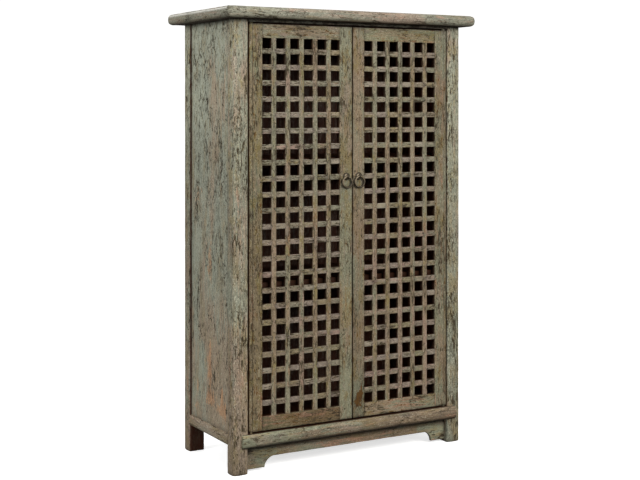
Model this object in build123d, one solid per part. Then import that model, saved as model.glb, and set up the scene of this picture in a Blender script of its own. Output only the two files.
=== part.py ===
from build123d import *
import os

# ---------------------------------------------------------------------------
# Tall two-door book cabinet, east asian frame-and-panel construction.
# Frame: +X to the cabinet's right as seen from the front, +Y to the back,
# +Z up.  Origin: centre of the bounding box on the floor.  Millimetres.
# ---------------------------------------------------------------------------

# overall
height = 1800.0            # floor to the top of the cap
cap_half_w = 577.0         # half width of the cap
cap_half_d = 288.0         # half depth of the cap
cap_t = 46.0               # cap thickness
cap_member_w = 110.0       # width of a cap frame member
cap_round = 17.0           # bullnose radius, top and bottom arris
cap_over_front = 43.0      # how far the cap stands out in front of the posts
body_half_w = 532.0        # half width over the posts
body_d = 475.0             # depth over the posts

# posts
post_w = 66.0
post_d = 62.0
post_bulge = 2.5           # convexity of the two outward faces
post_r = 8.0               # rounding of the four arrises

# front, heights
z_cap = height - cap_t                 # underside of the cap, 1754
z_sill = 154.0                         # top of the bottom rails
z_rail_low = 100.0                     # bottom of the front bottom rail
rail_proud = 15.0                      # bottom rail stands this far out
rail_lap = (30.0, 38.0)                # and laps this far over the left and right post
z_header = 1742.0                      # lower edge of the visible top rail
apron_setback = 25.0
z_apron = 51.0                         # straight lower edge of the apron
z_bracket = 11.0                       # lower edge of its two end brackets
bracket_w = (82.0, 66.0)               # left bracket, right bracket
bracket_curve = (38.0, 33.0)

# doors
door_t = 24.0
door_gap = 3.5                         # between the meeting stiles
door_side_gap = 2.5                    # between hinge stile and post
z_door0 = 158.0
z_door1 = 1738.0
pivot_in = 13.0                        # pivot axis from the stile's outer edge
pivot_r = 6.5
pivot_clear = 0.06                     # radial running clearance
cols, rows = 6, 24
hole_w = 39.85
bar_w = 21.5
hole_h = 40.0
bar_h = 22.0
lattice_t = 18.0
lattice_set = 0.5                      # lattice face behind the frame face
lat_z1 = 1681.8                        # top of the lattice opening
lat_left_x0 = -406.6                   # left edge of the left door's lattice
lat_right_x0 = 55.9                    # left edge of the right door's lattice

# interior
panel_t = 12.0
panel_set = 10.0                       # side panel behind the post face
shelf_t = 16.0
z_shelf = (1212.0, 730.0)              # tops of the two shelves
bottom_t = 16.0

# pulls
pull_z = 1135.2
pull_x = (-29.0, 28.5)
plate_r = 16.0
ring_od = 51.0
ring_wire = 8.0

# derived
yf = -cap_half_d + cap_over_front      # front plane of posts and doors, -245
yb = yf + body_d                       # back plane of the posts, 230
xi = body_half_w - post_w              # inner face of the posts, 466
lat_w = cols * hole_w + (cols - 1) * bar_w
lat_h = rows * hole_h + (rows - 1) * bar_h
lat_z0 = lat_z1 - lat_h
y_piv = yf + door_t / 2
x_piv = xi - door_side_gap - pivot_in  # 450.5

parts = {}


def bx(x0, x1, y0, y1, z0, z1):
    return Pos((x0 + x1) / 2, (y0 + y1) / 2, (z0 + z1) / 2) * Box(
        abs(x1 - x0), abs(y1 - y0), abs(z1 - z0))


def prism(points, z0, z1):
    """Vertical prism over a closed polygon in plan."""
    face = make_face(Polyline(*[(p[0], p[1]) for p in points], close=True))
    return Pos(0, 0, z0) * extrude(face, z1 - z0)


def group(solids):
    return Compound(children=[s if isinstance(s, Solid) else s.solids()[0] for s in solids])


def one(shape):
    """The single solid of a boolean result."""
    s = shape.solids()
    s = sorted(s, key=lambda q: -q.volume)
    return s[0]


# --- posts -----------------------------------------------------------------
def post_outline(sx, sy):
    """Section of a corner post: convex on its two outward faces."""
    w, d, b = post_w, post_d, post_bulge
    # local frame: inner corner at (0, 0), outward corner at (w, d)
    e = [Line((0, 0), (w - b, 0)),
         ThreePointArc((w - b, 0), (w, d / 2), (w - b, d - b)),
         ThreePointArc((w - b, d - b), (w / 2, d), (0, d - b)),
         Line((0, d - b), (0, 0))]
    f = make_face(e)
    f = fillet(f.vertices(), post_r)
    f = f.face() if hasattr(f, "face") else f
    # place: mirror into the wanted quadrant
    s = extrude(f, z_cap)
    if sx < 0:
        s = mirror(s, about=Plane.YZ)
    if sy < 0:
        s = mirror(s, about=Plane.XZ)
    ox = sx * xi
    oy = (yf + post_d) if sy < 0 else (yb - post_d)
    return Pos(ox, oy, 0) * s


post_names = {(-1, -1): "post_front_left", (1, -1): "post_front_right",
              (-1, 1): "post_back_left", (1, 1): "post_back_right"}
post_raw = {k: one(post_outline(*k)) for k in post_names}
# tenon on top of each post, up into the mitred corner of the cap
tenon_top = {}
for (sx, sy) in post_names:
    cx = sx * 505.0
    cy = (yf + 29.0) if sy < 0 else (yb - 29.0)
    tenon_top[(sx, sy)] = bx(cx - 11, cx + 11, cy - 11, cy + 11, z_cap - 1, z_cap + 24)
posts = {k: one(post_raw[k] + tenon_top[k]) for k in post_raw}
all_posts = [post_raw[k] for k in post_raw]


def minus(a, tools):
    for t in tools:
        a = a - t
    return one(a)


# --- top rails ---------------------------------------------------------------
tl = 20.0   # tenon length into a post


def ten(x0, x1, y0, y1, z0, z1):
    return bx(x0, x1, y0, y1, z0, z1)


# front: shallow strip over the doors with a stop behind them
tf = bx(-xi, xi, yf + 2, yf + 40, z_header, z_cap) + bx(-xi, xi, yf + door_t + 4, yf + 52, 1712, z_cap)
tf_ten = [ten(-xi - tl, -xi, yf + 30, yf + 44, 1718, 1748), ten(xi, xi + tl, yf + 30, yf + 44, 1718, 1748)]
tf_body = one(minus(tf, all_posts) + tf_ten[0] + tf_ten[1])
# sockets for the doors' upper pivots
for s in (-1, 1):
    tf_body = one(tf_body - Pos(s * x_piv, y_piv, z_header + 5) * Cylinder(pivot_r + pivot_clear, 11))
parts["top_rail_front"] = tf_body

# back
tb = bx(-xi, xi, yb - 42, yb - 6, 1700, z_cap)
tb_ten = [ten(-xi - tl, -xi, yb - 32, yb - 18, 1708, 1746), ten(xi, xi + tl, yb - 32, yb - 18, 1708, 1746)]
tb_body = one(tb + tb_ten[0] + tb_ten[1])

# sides
ts_body = {}
ts_ten = {}
yp0, yp1 = yf + post_d, yb - post_d      # -183 .. 168, between the posts
for s in (-1, 1):
    # inside the panel, which runs up under the cap in front of it
    xo, xn = s * (body_half_w - panel_set - panel_t), s * (body_half_w - 48)
    r = bx(xo, xn, yp0, yp1, 1720, z_cap)
    a, b = s * (body_half_w - 28), s * (body_half_w - 42)
    t = [ten(a, b, yp0 - tl, yp0, 1726, 1748), ten(a, b, yp1, yp1 + tl, 1726, 1748)]
    ts_ten[s] = t
    ts_body[s] = one(r + t[0] + t[1])

# --- bottom rails ------------------------------------------------------------
# front: rounded face, proud of the posts and lapped over them
def bullnose_x(x0, x1, y_front, y_back, z0, z1, r):
    """Bar along X whose front arrises are rounded."""
    f = Plane.YZ * make_face(Polyline((y_front, z0), (y_back, z0), (y_back, z1), (y_front, z1), close=True))
    s = Pos(x0, 0, 0) * extrude(f, x1 - x0)
    s = one(s)
    ed = [e for e in s.edges() if abs(e.center().Y - y_front) < 1e-3 and e.length > abs(x1 - x0) - 1]
    return one(fillet(ed, r))


def bullnose_y(x_out, x_in, y0, y1, z0, z1, r):
    """Bar along Y whose outward arrises are rounded."""
    s = one(bx(x_out, x_in, y0, y1, z0, z1))
    ed = [e for e in s.edges() if abs(e.center().X - x_out) < 1e-3 and e.length > abs(y1 - y0) - 1]
    return one(fillet(ed, r))


bf = bullnose_x(-xi - rail_lap[0], xi + rail_lap[1], yf - rail_proud, yf + 44, z_rail_low, z_sill, 19)
bf_body = minus(bf, all_posts)
# drop anything left behind the posts
bf_body = one(bf_body - bx(-700, -xi, yf + 20, yf + 80, 90, 170) - bx(xi, 700, yf + 20, yf + 80, 90, 170))
bf_ten = [ten(-xi - tl, -xi, yf + 18, yf + 34, 108, 146), ten(xi, xi + tl, yf + 18, yf + 34, 108, 146)]
bf_body = one(bf_body + bf_ten[0] + bf_ten[1])
for s in (-1, 1):
    bf_body = one(bf_body - Pos(s * x_piv, y_piv, z_sill - 5) * Cylinder(pivot_r + pivot_clear, 12))

# back
bb_body = one(bx(-xi, xi, yb - 42, yb - 6, 106, z_sill)
              + ten(-xi - tl, -xi, yb - 32, yb - 18, 114, 146) + ten(xi, xi + tl, yb - 32, yb - 18, 114, 146))
bb_ten = [ten(-xi - tl, -xi, yb - 32, yb - 18, 114, 146), ten(xi, xi + tl, yb - 32, yb - 18, 114, 146)]

# sides: rounded face level with the posts, coped over their rounded arrises
bs_body, bs_ten = {}, {}
for s in (-1, 1):
    xo, xn = s * (body_half_w + 0.5), s * (body_half_w - 46)
    r = bullnose_y(xo, xn, yp0 - 9, yp1 + 9, 106, z_sill, 16)
    r = minus(r, all_posts)
    a, b = s * (body_half_w - 18), s * (body_half_w - 32)
    t = [ten(a, b, yp0 - tl, yp0, 112, 148), ten(a, b, yp1, yp1 + tl, 112, 148)]
    bs_ten[s] = t
    bs_body[s] = one(r + t[0] + t[1])

# --- side panels ---------------------------------------------------------------
side_panels = {}
pg = 8.0    # panel edge inside its groove
for s in (-1, 1):
    xo = s * (body_half_w - panel_set)
    xn = s * (body_half_w - panel_set - panel_t)
    side_panels[s] = one(bx(xo, xn, yp0 - pg, yp1 + pg, z_sill - pg, z_cap - 0.2))

# --- back: two mid rails and three panels ---------------------------------------
yk0, yk1 = yb - 24, yb - 12            # back panels, 206 .. 218
mid_h = 44.0
back_mid, back_mid_ten = [], []
for zt in z_shelf:
    b = bx(-xi, xi, yb - 42, yb - 6, zt - mid_h, zt)
    t = [ten(-xi - tl, -xi, yb - 32, yb - 18, zt - mid_h + 8, zt - 8),
         ten(xi, xi + tl, yb - 32, yb - 18, zt - mid_h + 8, zt - 8)]
    back_mid.append(one(b + t[0] + t[1]))
    back_mid_ten.append(t)
z_back = [(z_sill, z_shelf[1] - mid_h), (z_shelf[1], z_shelf[0] - mid_h), (z_shelf[0], 1700.0)]
back_panels = [one(bx(-xi - pg, xi + pg, yk0, yk1, a - pg, b + pg)) for a, b in z_back]

# --- shelves ------------------------------------------------------------------
y_sf = yf + door_t + 8                 # front face of the shelf rails, -213
shelf_front_d, shelf_front_h = 26.0, 36.0
xin = body_half_w - panel_set - panel_t    # inner face of the side panels, 510
shelf_front, shelf_front_ten, shelf_board, shelf_cleats = [], [], [], []
for zt in z_shelf:
    f = bx(-xi, xi, y_sf, y_sf + shelf_front_d, zt - shelf_front_h, zt)
    f = f - bx(-xi, xi, y_sf + 16, y_sf + shelf_front_d, zt - shelf_t, zt)
    t = [ten(-xi - tl, -xi, y_sf + 4, y_sf + 14, zt - 30, zt - 6), ten(xi, xi + tl, y_sf + 4, y_sf + 14, zt - 30, zt - 6)]
    shelf_front.append(one(f + t[0] + t[1]))
    shelf_front_ten.append(t)
    b = bx(-xin + 0.5, xin - 0.5, y_sf + 16, yb - 32, zt - shelf_t, zt)
    shelf_board.append(minus(b, all_posts))
    shelf_cleats.append([bx(s * xin, s * (xin - 24), yp0 + 2, yb - 64, zt - shelf_t - 30, zt - shelf_t) for s in (-1, 1)])
# the board's back edge sits in a rebate of the back mid rail
for i, zt in enumerate(z_shelf):
    back_mid[i] = one(back_mid[i] - bx(-xi - 1, xi + 1, yb - 43, yb - 32, zt - shelf_t, zt))

# --- bottom board: rests on the four bottom rails and stops the doors -------------
bottom = bx(-xin + 0.5, xin - 0.5, yf + door_t + 3.5, yb - 24.5, z_sill, z_sill + bottom_t)
bottom = minus(bottom, all_posts)
back_panels[0] = one(back_panels[0])

# --- apron with bracket ends ------------------------------------------------------
ya = yf + apron_setback
a0 = xi + 0.0
# inner end of each bracket's foot, and where its curve meets the straight edge
wl, wr = xi - bracket_w[0], xi - bracket_w[1]
vl, vr = wl - bracket_curve[0], wr - bracket_curve[1]
edges = [
    Line((-a0, z_rail_low), (-a0, z_bracket)),
    Line((-a0, z_bracket), (-wl, z_bracket)),
    # a hollow from the foot of the bracket up to the straight edge
    ThreePointArc((-wl, z_bracket), (-wl + 11.5, z_bracket + 26.0), (-vl, z_apron)),
    Line((-vl, z_apron), (vr, z_apron)),
    ThreePointArc((vr, z_apron), (wr - 9.5, z_bracket + 26.0), (wr, z_bracket)),
    Line((wr, z_bracket), (a0, z_bracket)),
    Line((a0, z_bracket), (a0, z_rail_low)),
    Line((a0, z_rail_low), (-a0, z_rail_low)),
]
apf = Plane.XZ * make_face(edges)
apron = one(Pos(0, ya + 16, 0) * extrude(apf, 16))
# its ends and top edge are let into the posts and the rail
apron_ten = [bx(s * xi, s * (xi + 8), ya + 4, ya + 12, z_bracket + 6, z_rail_low) for s in (-1, 1)]
apron_top = bx(-xi + 10, xi - 10, ya + 4, ya + 12, z_rail_low, z_rail_low + 8)
apron = one(apron + apron_ten[0] + apron_ten[1] + apron_top)
bf_body = one(bf_body - apron_top)

# --- now cut mortises and grooves ---------------------------------------------------
groove = {}
cut = {k: [] for k in posts}


def add_cut(sx, sy, solid):
    cut[(sx, sy)].append(solid)


for i, s in ((0, -1), (1, 1)):
    add_cut(s, -1, tf_ten[i])
    add_cut(s, 1, tb_ten[i])
    add_cut(s, -1, bf_ten[i])
    add_cut(s, 1, bb_ten[i])
    add_cut(s, -1, apron_ten[i])
    for t in back_mid_ten:
        add_cut(s, 1, t[i])
    for t in shelf_front_ten:
        add_cut(s, -1, t[i])
for s in (-1, 1):
    add_cut(s, -1, ts_ten[s][0])
    add_cut(s, 1, ts_ten[s][1])
    add_cut(s, -1, bs_ten[s][0])
    add_cut(s, 1, bs_ten[s][1])
    # grooves for the side panel
    xo = s * (body_half_w - panel_set)
    xn = s * (body_half_w - panel_set - panel_t)
    add_cut(s, -1, bx(xo, xn, yp0 - pg - 1, yp0 + 1, z_sill - pg, z_cap + 1))
    add_cut(s, 1, bx(xo, xn, yp1 - 1, yp1 + pg + 1, z_sill - pg, z_cap + 1))
    bs_body[s] = one(bs_body[s] - bx(xo, xn, yp0 - 30, yp1 + 30, z_sill - pg - 0.5, z_sill + 1))
    # grooves for the back panels
    g = s * xi, s * (xi + pg + 1)
    for a, b in z_back:
        add_cut(s, 1, bx(g[0] - s, g[1], yk0, yk1, a - pg, b + pg))

for k in posts:
    parts[post_names[k]] = minus(posts[k], cut[k])

tb_body = one(tb_body - bx(-xi - 30, xi + 30, yk0, yk1, 1699, 1700 + pg + 0.5))
bb_body = one(bb_body - bx(-xi - 30, xi + 30, yk0, yk1, z_sill - pg - 0.5, z_sill + 1))
for i, zt in enumerate(z_shelf):
    back_mid[i] = one(back_mid[i] - bx(-xi - 30, xi + 30, yk0, yk1, zt - pg - 0.5, zt + 1)
                      - bx(-xi - 30, xi + 30, yk0, yk1, zt - mid_h - 1, zt - mid_h + pg + 0.5))

parts["top_rail_back"] = tb_body
parts["top_rail_left"] = ts_body[-1]
parts["top_rail_right"] = ts_body[1]
parts["bottom_rail_front"] = bf_body
parts["bottom_rail_back"] = bb_body
parts["bottom_rail_left"] = bs_body[-1]
parts["bottom_rail_right"] = bs_body[1]
parts["side_panel_left"] = side_panels[-1]
parts["side_panel_right"] = side_panels[1]
parts["back_rail_lower"] = back_mid[1]
parts["back_rail_upper"] = back_mid[0]
parts["back_panel_lower"] = back_panels[0]
parts["back_panel_middle"] = back_panels[1]
parts["back_panel_upper"] = back_panels[2]
parts["bottom_board"] = bottom
parts["apron_front"] = apron
parts["shelf_upper"] = shelf_board[0]
parts["shelf_lower"] = shelf_board[1]
parts["shelf_rail_upper"] = shelf_front[0]
parts["shelf_rail_lower"] = shelf_front[1]
parts["shelf_cleats_upper"] = group(shelf_cleats[0])
parts["shelf_cleats_lower"] = group(shelf_cleats[1])

# --- cap ------------------------------------------------------------------------------
W, D, M = cap_half_w, cap_half_d, cap_member_w
pan_lap, pan_tongue = 9.0, 8.0
wi, di = W - M, D - M                    # inner opening of the frame


def cap_bar_x(sy):
    """Front or back member: bullnose outside, grooved inside, mitred ends."""
    y_out, y_in = sy * D, sy * di
    s = one(bx(-W, W, min(y_out, y_in), max(y_out, y_in), z_cap, height))
    ed = [e for e in s.edges() if abs(e.center().Y - y_out) < 1e-3 and e.length > 2 * W - 1]
    s = one(fillet(ed, cap_round))
    wedge = prism([(-W, y_out), (W, y_out), (wi, y_in), (-wi, y_in)], z_cap - 1, height + 1)
    return one(s & wedge)


def cap_bar_y(sx):
    x_out, x_in = sx * W, sx * wi
    s = one(bx(min(x_out, x_in), max(x_out, x_in), -D, D, z_cap, height))
    ed = [e for e in s.edges() if abs(e.center().X - x_out) < 1e-3 and e.length > 2 * D - 1]
    s = one(fillet(ed, cap_round))
    wedge = prism([(x_out, -D), (x_out, D), (x_in, di), (x_in, -di)], z_cap - 1, height + 1)
    return one(s & wedge)


tongue_cut = bx(-wi - pan_lap, wi + pan_lap, -di - pan_lap, di + pan_lap, height - 16, height - 16 + pan_tongue)
battens = [bx(x - 22, x + 22, -di, di, height - 38, height - 16) for x in (-190, 190)]
batten_ten = []
for x in (-190, 190):
    for s in (-1, 1):
        batten_ten.append(bx(x - 16, x + 16, s * di, s * (di + 12), height - 36, height - 22))
battens = [one(battens[0] + batten_ten[0] + batten_ten[1]), one(battens[1] + batten_ten[2] + batten_ten[3])]
cap = {"cap_rail_front": cap_bar_x(-1), "cap_rail_back": cap_bar_x(1),
       "cap_rail_left": cap_bar_y(-1), "cap_rail_right": cap_bar_y(1)}
for n in cap:
    c = cap[n] - tongue_cut
    for t in batten_ten:
        c = c - t
    for k in tenon_top:
        c = c - tenon_top[k]
    parts[n] = one(c)
g = 0.5
panel = bx(-wi + g, wi - g, -di + g, di - g, height - 16, height)
panel = panel + bx(-wi - pan_lap + 1, wi + pan_lap - 1, -di - pan_lap + 1, di + pan_lap - 1,
                   height - 16, height - 16 + pan_tongue)
parts["cap_panel"] = one(panel)
parts["cap_battens"] = group(battens)


# --- doors ------------------------------------------------------------------------------
def door(side):
    """Frame, half-lapped lattice and pivots of one door.  side -1 left, +1 right."""
    p = {}
    name = "left" if side < 0 else "right"
    y0, y1 = yf, yf + door_t
    lx0 = lat_left_x0 if side < 0 else lat_right_x0
    lx1 = lx0 + lat_w
    x_out = side * (xi - door_side_gap)          # outer edge of the hinge stile
    x_meet = side * door_gap / 2
    xp = side * x_piv
    # hinge stile: its outer edge is rounded about the pivot axis
    inner = lx0 if side < 0 else lx1
    st = bx(xp, inner, y0, y1, z_door0, z_door1)
    rnd = Pos(xp, y_piv, (z_door0 + z_door1) / 2) * Cylinder(pivot_in, z_door1 - z_door0)
    rnd = rnd & bx(xp - 20, xp + 20, y0, y1, z_door0, z_door1)
    st = one(st + rnd)
    # bead line beside the rounded edge
    xb = x_out - side * 15.0
    vee = Plane.XY * make_face(Polyline((xb - 1.2, y0 - 0.2), (xb + 1.2, y0 - 0.2), (xb, y0 + 1.6), close=True))
    st = one(st - Pos(0, 0, z_door0 - 1) * extrude(vee, z_door1 - z_door0 + 2))
    # turned pivots at both ends
    st = one(st + Pos(xp, y_piv, z_door1 + 6.5) * Cylinder(pivot_r, 15))
    st = one(st + Pos(xp, y_piv, z_door0 - 4.85) * Cylinder(pivot_r, 11.7))
    # meeting stile
    outer = lx1 if side < 0 else lx0
    ms = one(bx(outer, x_meet, y0, y1, z_door0, z_door1))
    # rails
    tr = one(bx(lx0, lx1, y0, y1, lat_z1, z_door1))
    br = one(bx(lx0, lx1, y0, y1, z_door0, lat_z0))
    fr_ten_t = [bx(lx0 - 28, lx0, y0 + 8, y0 + 16, lat_z1 + 8, z_door1 - 10),
                bx(lx1, lx1 + 28, y0 + 8, y0 + 16, lat_z1 + 8, z_door1 - 10)]
    fr_ten_b = [bx(lx0 - 28, lx0, y0 + 8, y0 + 16, z_door0 + 10, lat_z0 - 8),
                bx(lx1, lx1 + 28, y0 + 8, y0 + 16, z_door0 + 10, lat_z0 - 8)]
    tr = one(tr + fr_ten_t[0] + fr_ten_t[1])
    br = one(br + fr_ten_b[0] + fr_ten_b[1])
    # lattice: bars half-lapped, tenoned into the frame
    ly0, ly1 = y0 + lattice_set, y0 + lattice_set + lattice_t
    lym = (ly0 + ly1) / 2
    ty0, ty1 = y0 + 6, y0 + 13
    zs = [lat_z1 - (r + 1) * hole_h - r * bar_h for r in range(rows - 1)]      # upper edge of each crossbar
    xs = [lx0 + (c + 1) * hole_w + c * bar_w for c in range(cols - 1)]         # left edge of each upright
    verts, v_ten = [], []
    z_notch = Compound(children=[one(bx(lx0 - 5, lx1 + 5, lym, ly1 + 1, z - bar_h, z)) for z in zs])
    for x in xs:
        t0 = bx(x + 3, x + bar_w - 3, ty0, ty1, lat_z0 - 8, lat_z0)
        t1 = bx(x + 3, x + bar_w - 3, ty0, ty1, lat_z1, lat_z1 + 8)
        b = bx(x, x + bar_w, ly0, ly1, lat_z0, lat_z1) - z_notch
        verts.append(one(one(b) + t0 + t1))
        v_ten += [t0, t1]
    horis, h_ten = [], []
    x_notch = Compound(children=[one(bx(x, x + bar_w, ly0 - 1, lym, lat_z0 - 5, lat_z1 + 5)) for x in xs])
    for z in zs:
        t0 = bx(lx0 - 8, lx0, ty0, ty1, z - bar_h + 3, z - 3)
        t1 = bx(lx1, lx1 + 8, ty0, ty1, z - bar_h + 3, z - 3)
        b = bx(lx0, lx1, ly0, ly1, z - bar_h, z) - x_notch
        horis.append(one(one(b) + t0 + t1))
        h_ten += [t0, t1]
    vt = Compound(children=[one(t) for t in v_ten])
    ht = Compound(children=[one(t) for t in h_ten])
    ft = Compound(children=[one(t) for t in fr_ten_t + fr_ten_b])
    st = one(st - ht - ft)
    ms = one(ms - ht - ft)
    tr = one(tr - vt)
    br = one(br - vt)
    # pull: domed plate, and a staple whose legs go through the stile
    px = pull_x[0] if side < 0 else pull_x[1]
    plate = Pos(px, y0 - 0.8, pull_z) * Rot(90, 0, 0) * Cylinder(plate_r, 1.6)
    dome = Pos(px, y0 + 20.5, pull_z) * Sphere(24.5)
    dome = dome & bx(px - 30, px + 30, y0 - 10, y0 - 1.6, pull_z - 30, pull_z + 30)
    plate = one(plate + dome)
    leg_r = 1.5
    eye_r = 7.0                    # centreline radius of the staple's eye
    wire = 1.6                     # wire radius
    y_eye = y0 - 1.6 - 2.4 - 5.0   # centre of the eye
    # the eye lies in the YZ plane: a loop of wire, closed at the plate by the two legs
    eye = Pos(px, y_eye, pull_z) * Rot(0, 90, 0) * Torus(eye_r, wire)
    eye = eye & bx(px - 10, px + 10, y_eye - 20, y0 + 5, pull_z - 20, pull_z + 20)
    legs = [bx(px - 1.5, px + 1.5, y_eye + 6.0, y1 + 2.4, pull_z + 0.1, pull_z + 3.1),
            bx(px - 1.5, px + 1.5, y_eye + 6.0, y1 + 2.4, pull_z - 3.1, pull_z - 0.1)]
    feet = [bx(px - 1.5, px + 1.5, y1, y1 + 2.4, pull_z + 0.1, pull_z + 12),
            bx(px - 1.5, px + 1.5, y1, y1 + 2.4, pull_z - 12, pull_z - 0.1)]
    staple = one(one(eye) + legs[0] + feet[0] + legs[1] + feet[1])
    slot = bx(px - 1.5, px + 1.5, y0 - 12, y1, pull_z - 3.1, pull_z + 3.1)
    plate = one(plate - slot - staple)
    ms = one(ms - bx(px - 1.5, px + 1.5, y0 - 1, y1 + 1, pull_z - 3.1, pull_z + 3.1))
    # ring: hangs in the eye
    rr = ring_wire / 2
    major = ring_od / 2 - rr
    z_eye_in = pull_z - eye_r + wire                  # lowest point inside the eye
    z_pin = z_eye_in + 0.35 + rr                      # centre of the ring wire in the eye
    ring = Pos(px, y_eye, z_pin - major) * Rot(90, 0, 0) * Torus(major, rr)
    ring = one(ring)
    p[name + "_door_hinge_stile"] = st
    p[name + "_door_meeting_stile"] = ms
    p[name + "_door_top_rail"] = tr
    p[name + "_door_bottom_rail"] = br
    p[name + "_door_lattice_uprights"] = group(verts)
    p[name + "_door_lattice_crossbars"] = group(horis)
    p[name + "_pull_plate"] = plate
    p[name + "_pull_staple"] = staple
    p[name + "_pull_ring"] = ring
    print(name, "pivot", xp, y_piv, "ring pivot", px, y_eye, z_pin, "lattice", lx0, lx1, lat_z0, lat_z1)
    return p


for s in (-1, 1):
    parts.update(door(s))

os.makedirs("parts", exist_ok=True)
for n, s in parts.items():
    s.label = n
    export_step(s, "parts/%s.step" % n)
print(len(parts), "nodes")
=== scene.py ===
import math
import bpy
import numpy as np
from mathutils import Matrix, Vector


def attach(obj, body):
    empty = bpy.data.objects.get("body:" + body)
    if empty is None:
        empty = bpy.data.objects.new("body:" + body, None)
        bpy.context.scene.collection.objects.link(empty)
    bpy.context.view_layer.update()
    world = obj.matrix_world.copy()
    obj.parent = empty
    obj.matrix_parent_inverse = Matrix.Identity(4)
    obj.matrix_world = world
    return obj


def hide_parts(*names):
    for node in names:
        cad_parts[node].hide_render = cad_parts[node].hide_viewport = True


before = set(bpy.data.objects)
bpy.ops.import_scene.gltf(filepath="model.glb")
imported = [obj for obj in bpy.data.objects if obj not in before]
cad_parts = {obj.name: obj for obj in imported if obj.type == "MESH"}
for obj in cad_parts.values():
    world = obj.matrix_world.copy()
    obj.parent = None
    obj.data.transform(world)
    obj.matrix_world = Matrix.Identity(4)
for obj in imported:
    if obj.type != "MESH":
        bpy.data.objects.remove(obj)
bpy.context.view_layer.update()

# ---------------------------------------------------------------------------
# numbers, in millimetres, in the cabinet's own frame
# ---------------------------------------------------------------------------
MM = 0.001
W, D, H = 577.0, 288.0, 1800.0
Z_CAP = 1754.0
MEMBER = 110.0
YF, YB = -245.0, 230.0
XI, XO = 466.0, 532.0
Y_PIV, X_PIV = -233.0, 450.5
Z_D0, Z_D1 = 160.0, 1736.8
COLS, ROWS = 6, 24
HOLE_W, BAR_W, HOLE_H, BAR_H = 39.85, 21.5, 40.0, 22.0
LAT_Z1 = 1681.8
LAT_Z0 = LAT_Z1 - (ROWS * HOLE_H + (ROWS - 1) * BAR_H)
LAT_X = {"left": -406.6, "right": 55.9}
LAT_W = COLS * HOLE_W + (COLS - 1) * BAR_W
SHELVES = {"upper": 1212.0, "lower": 730.0}
PULL_X = {"left": -29.0, "right": 28.5}
PULL_Z = 1135.2


# ---------------------------------------------------------------------------
# seeded value noise
# ---------------------------------------------------------------------------
def _cell(ix, iy, iz, seed):
    h = (ix * 73856093) ^ (iy * 19349663) ^ (iz * 83492791) ^ ((seed * 2654435761) & 0xFFFFFFFF)
    h = h & 0xFFFFFFFF
    h = ((h ^ (h >> 16)) * 0x45D9F3B) & 0xFFFFFFFF
    h = ((h ^ (h >> 16)) * 0x45D9F3B) & 0xFFFFFFFF
    return ((h ^ (h >> 16)) & 0xFFFF) / 32767.5 - 1.0


def vnoise(p, seed=0):
    i = np.floor(p).astype(np.int64)
    f = p - i
    f = f * f * (3 - 2 * f)
    out = 0.0
    for dx in (0, 1):
        wx = f[:, 0] if dx else 1 - f[:, 0]
        for dy in (0, 1):
            wy = f[:, 1] if dy else 1 - f[:, 1]
            for dz in (0, 1):
                wz = f[:, 2] if dz else 1 - f[:, 2]
                out = out + wx * wy * wz * _cell(i[:, 0] + dx, i[:, 1] + dy, i[:, 2] + dz, seed)
    return out


def fbm(p, seed=0, octaves=3):
    out, a, s = 0.0, 1.0, 0.0
    for k in range(octaves):
        out = out + a * vnoise(p * (2.03 ** k), seed + 17 * k)
        s += a
        a *= 0.5
    return out / s


def rnd(*key):
    """One number in 0..1 for a tuple of whole numbers."""
    k = list(key) + [0, 0, 0]
    return float(_cell(np.array([k[0]]), np.array([k[1]]), np.array([k[2]]), 77)[0] * 0.5 + 0.5)


# ---------------------------------------------------------------------------
# cross-sections: a polygon with rounded corners, walked anticlockwise
# ---------------------------------------------------------------------------
def section(corners, step=5.0, arc=4, bulge=None, stops=None, profile=None):
    """corners [(u, v, radius)].  Gives points, outward normals and closeness to an arris."""
    n = len(corners)
    c = [np.array(q[:2], float) for q in corners]
    pts, nrm, wear = [], [], []
    info = []
    for i in range(n):
        d0 = c[i] - c[i - 1]
        d0 = d0 / np.linalg.norm(d0)
        d1 = c[(i + 1) % n] - c[i]
        d1 = d1 / np.linalg.norm(d1)
        th = math.acos(max(-1, min(1, float(d0 @ d1))))
        r = max(corners[i][2], 0.05)
        t = r * math.tan(th / 2)
        n0 = np.array([d0[1], -d0[0]])
        info.append((c[i] - d0 * t, c[i] + d1 * t, n0, th, r))
    for i in range(n):
        start, end, n0, th, r = info[i]
        cen = start - n0 * r
        k = arc if r > 1.2 else (2 if r > 0.4 else 1)
        for j in range(k + 1):
            a = th * j / k
            m = np.array([n0[0] * math.cos(a) - n0[1] * math.sin(a), n0[0] * math.sin(a) + n0[1] * math.cos(a)])
            pts.append(cen + r * m)
            nrm.append(m)
            wear.append(1.0)
        nxt = info[(i + 1) % n]
        a, b = end, nxt[0]
        length = float(np.linalg.norm(b - a))
        if length < 0.5:
            continue
        d = (b - a) / length
        out = np.array([d[1], -d[0]])
        s = []
        if length > 14:
            s += [1.6, length - 1.6]
            k = max(1, int(round((length - 3.2) / step)))
            s += [1.6 + (length - 3.2) * j / k for j in range(1, k)]
        elif length > 4:
            k = max(1, int(round(length / step)))
            s += [length * j / k for j in range(1, k)]
        if stops and i in stops:
            s = [x for x in s if min(abs(x - y) for y in stops[i]) > 1.3] + list(stops[i])
        for x in sorted(s):
            p = a + d * x
            off = 0.0
            if bulge and bulge.get(i):
                tt = 2 * x / length - 1
                off += bulge[i] * (1 - tt * tt)
            if profile and i in profile:
                off += profile[i](x)
            pts.append(p + out * off)
            nrm.append(out)
            wear.append(max(0.0, 1 - min(x, length - x) / 11.0))
    return np.array(pts), np.array(nrm), np.array(wear)


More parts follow.
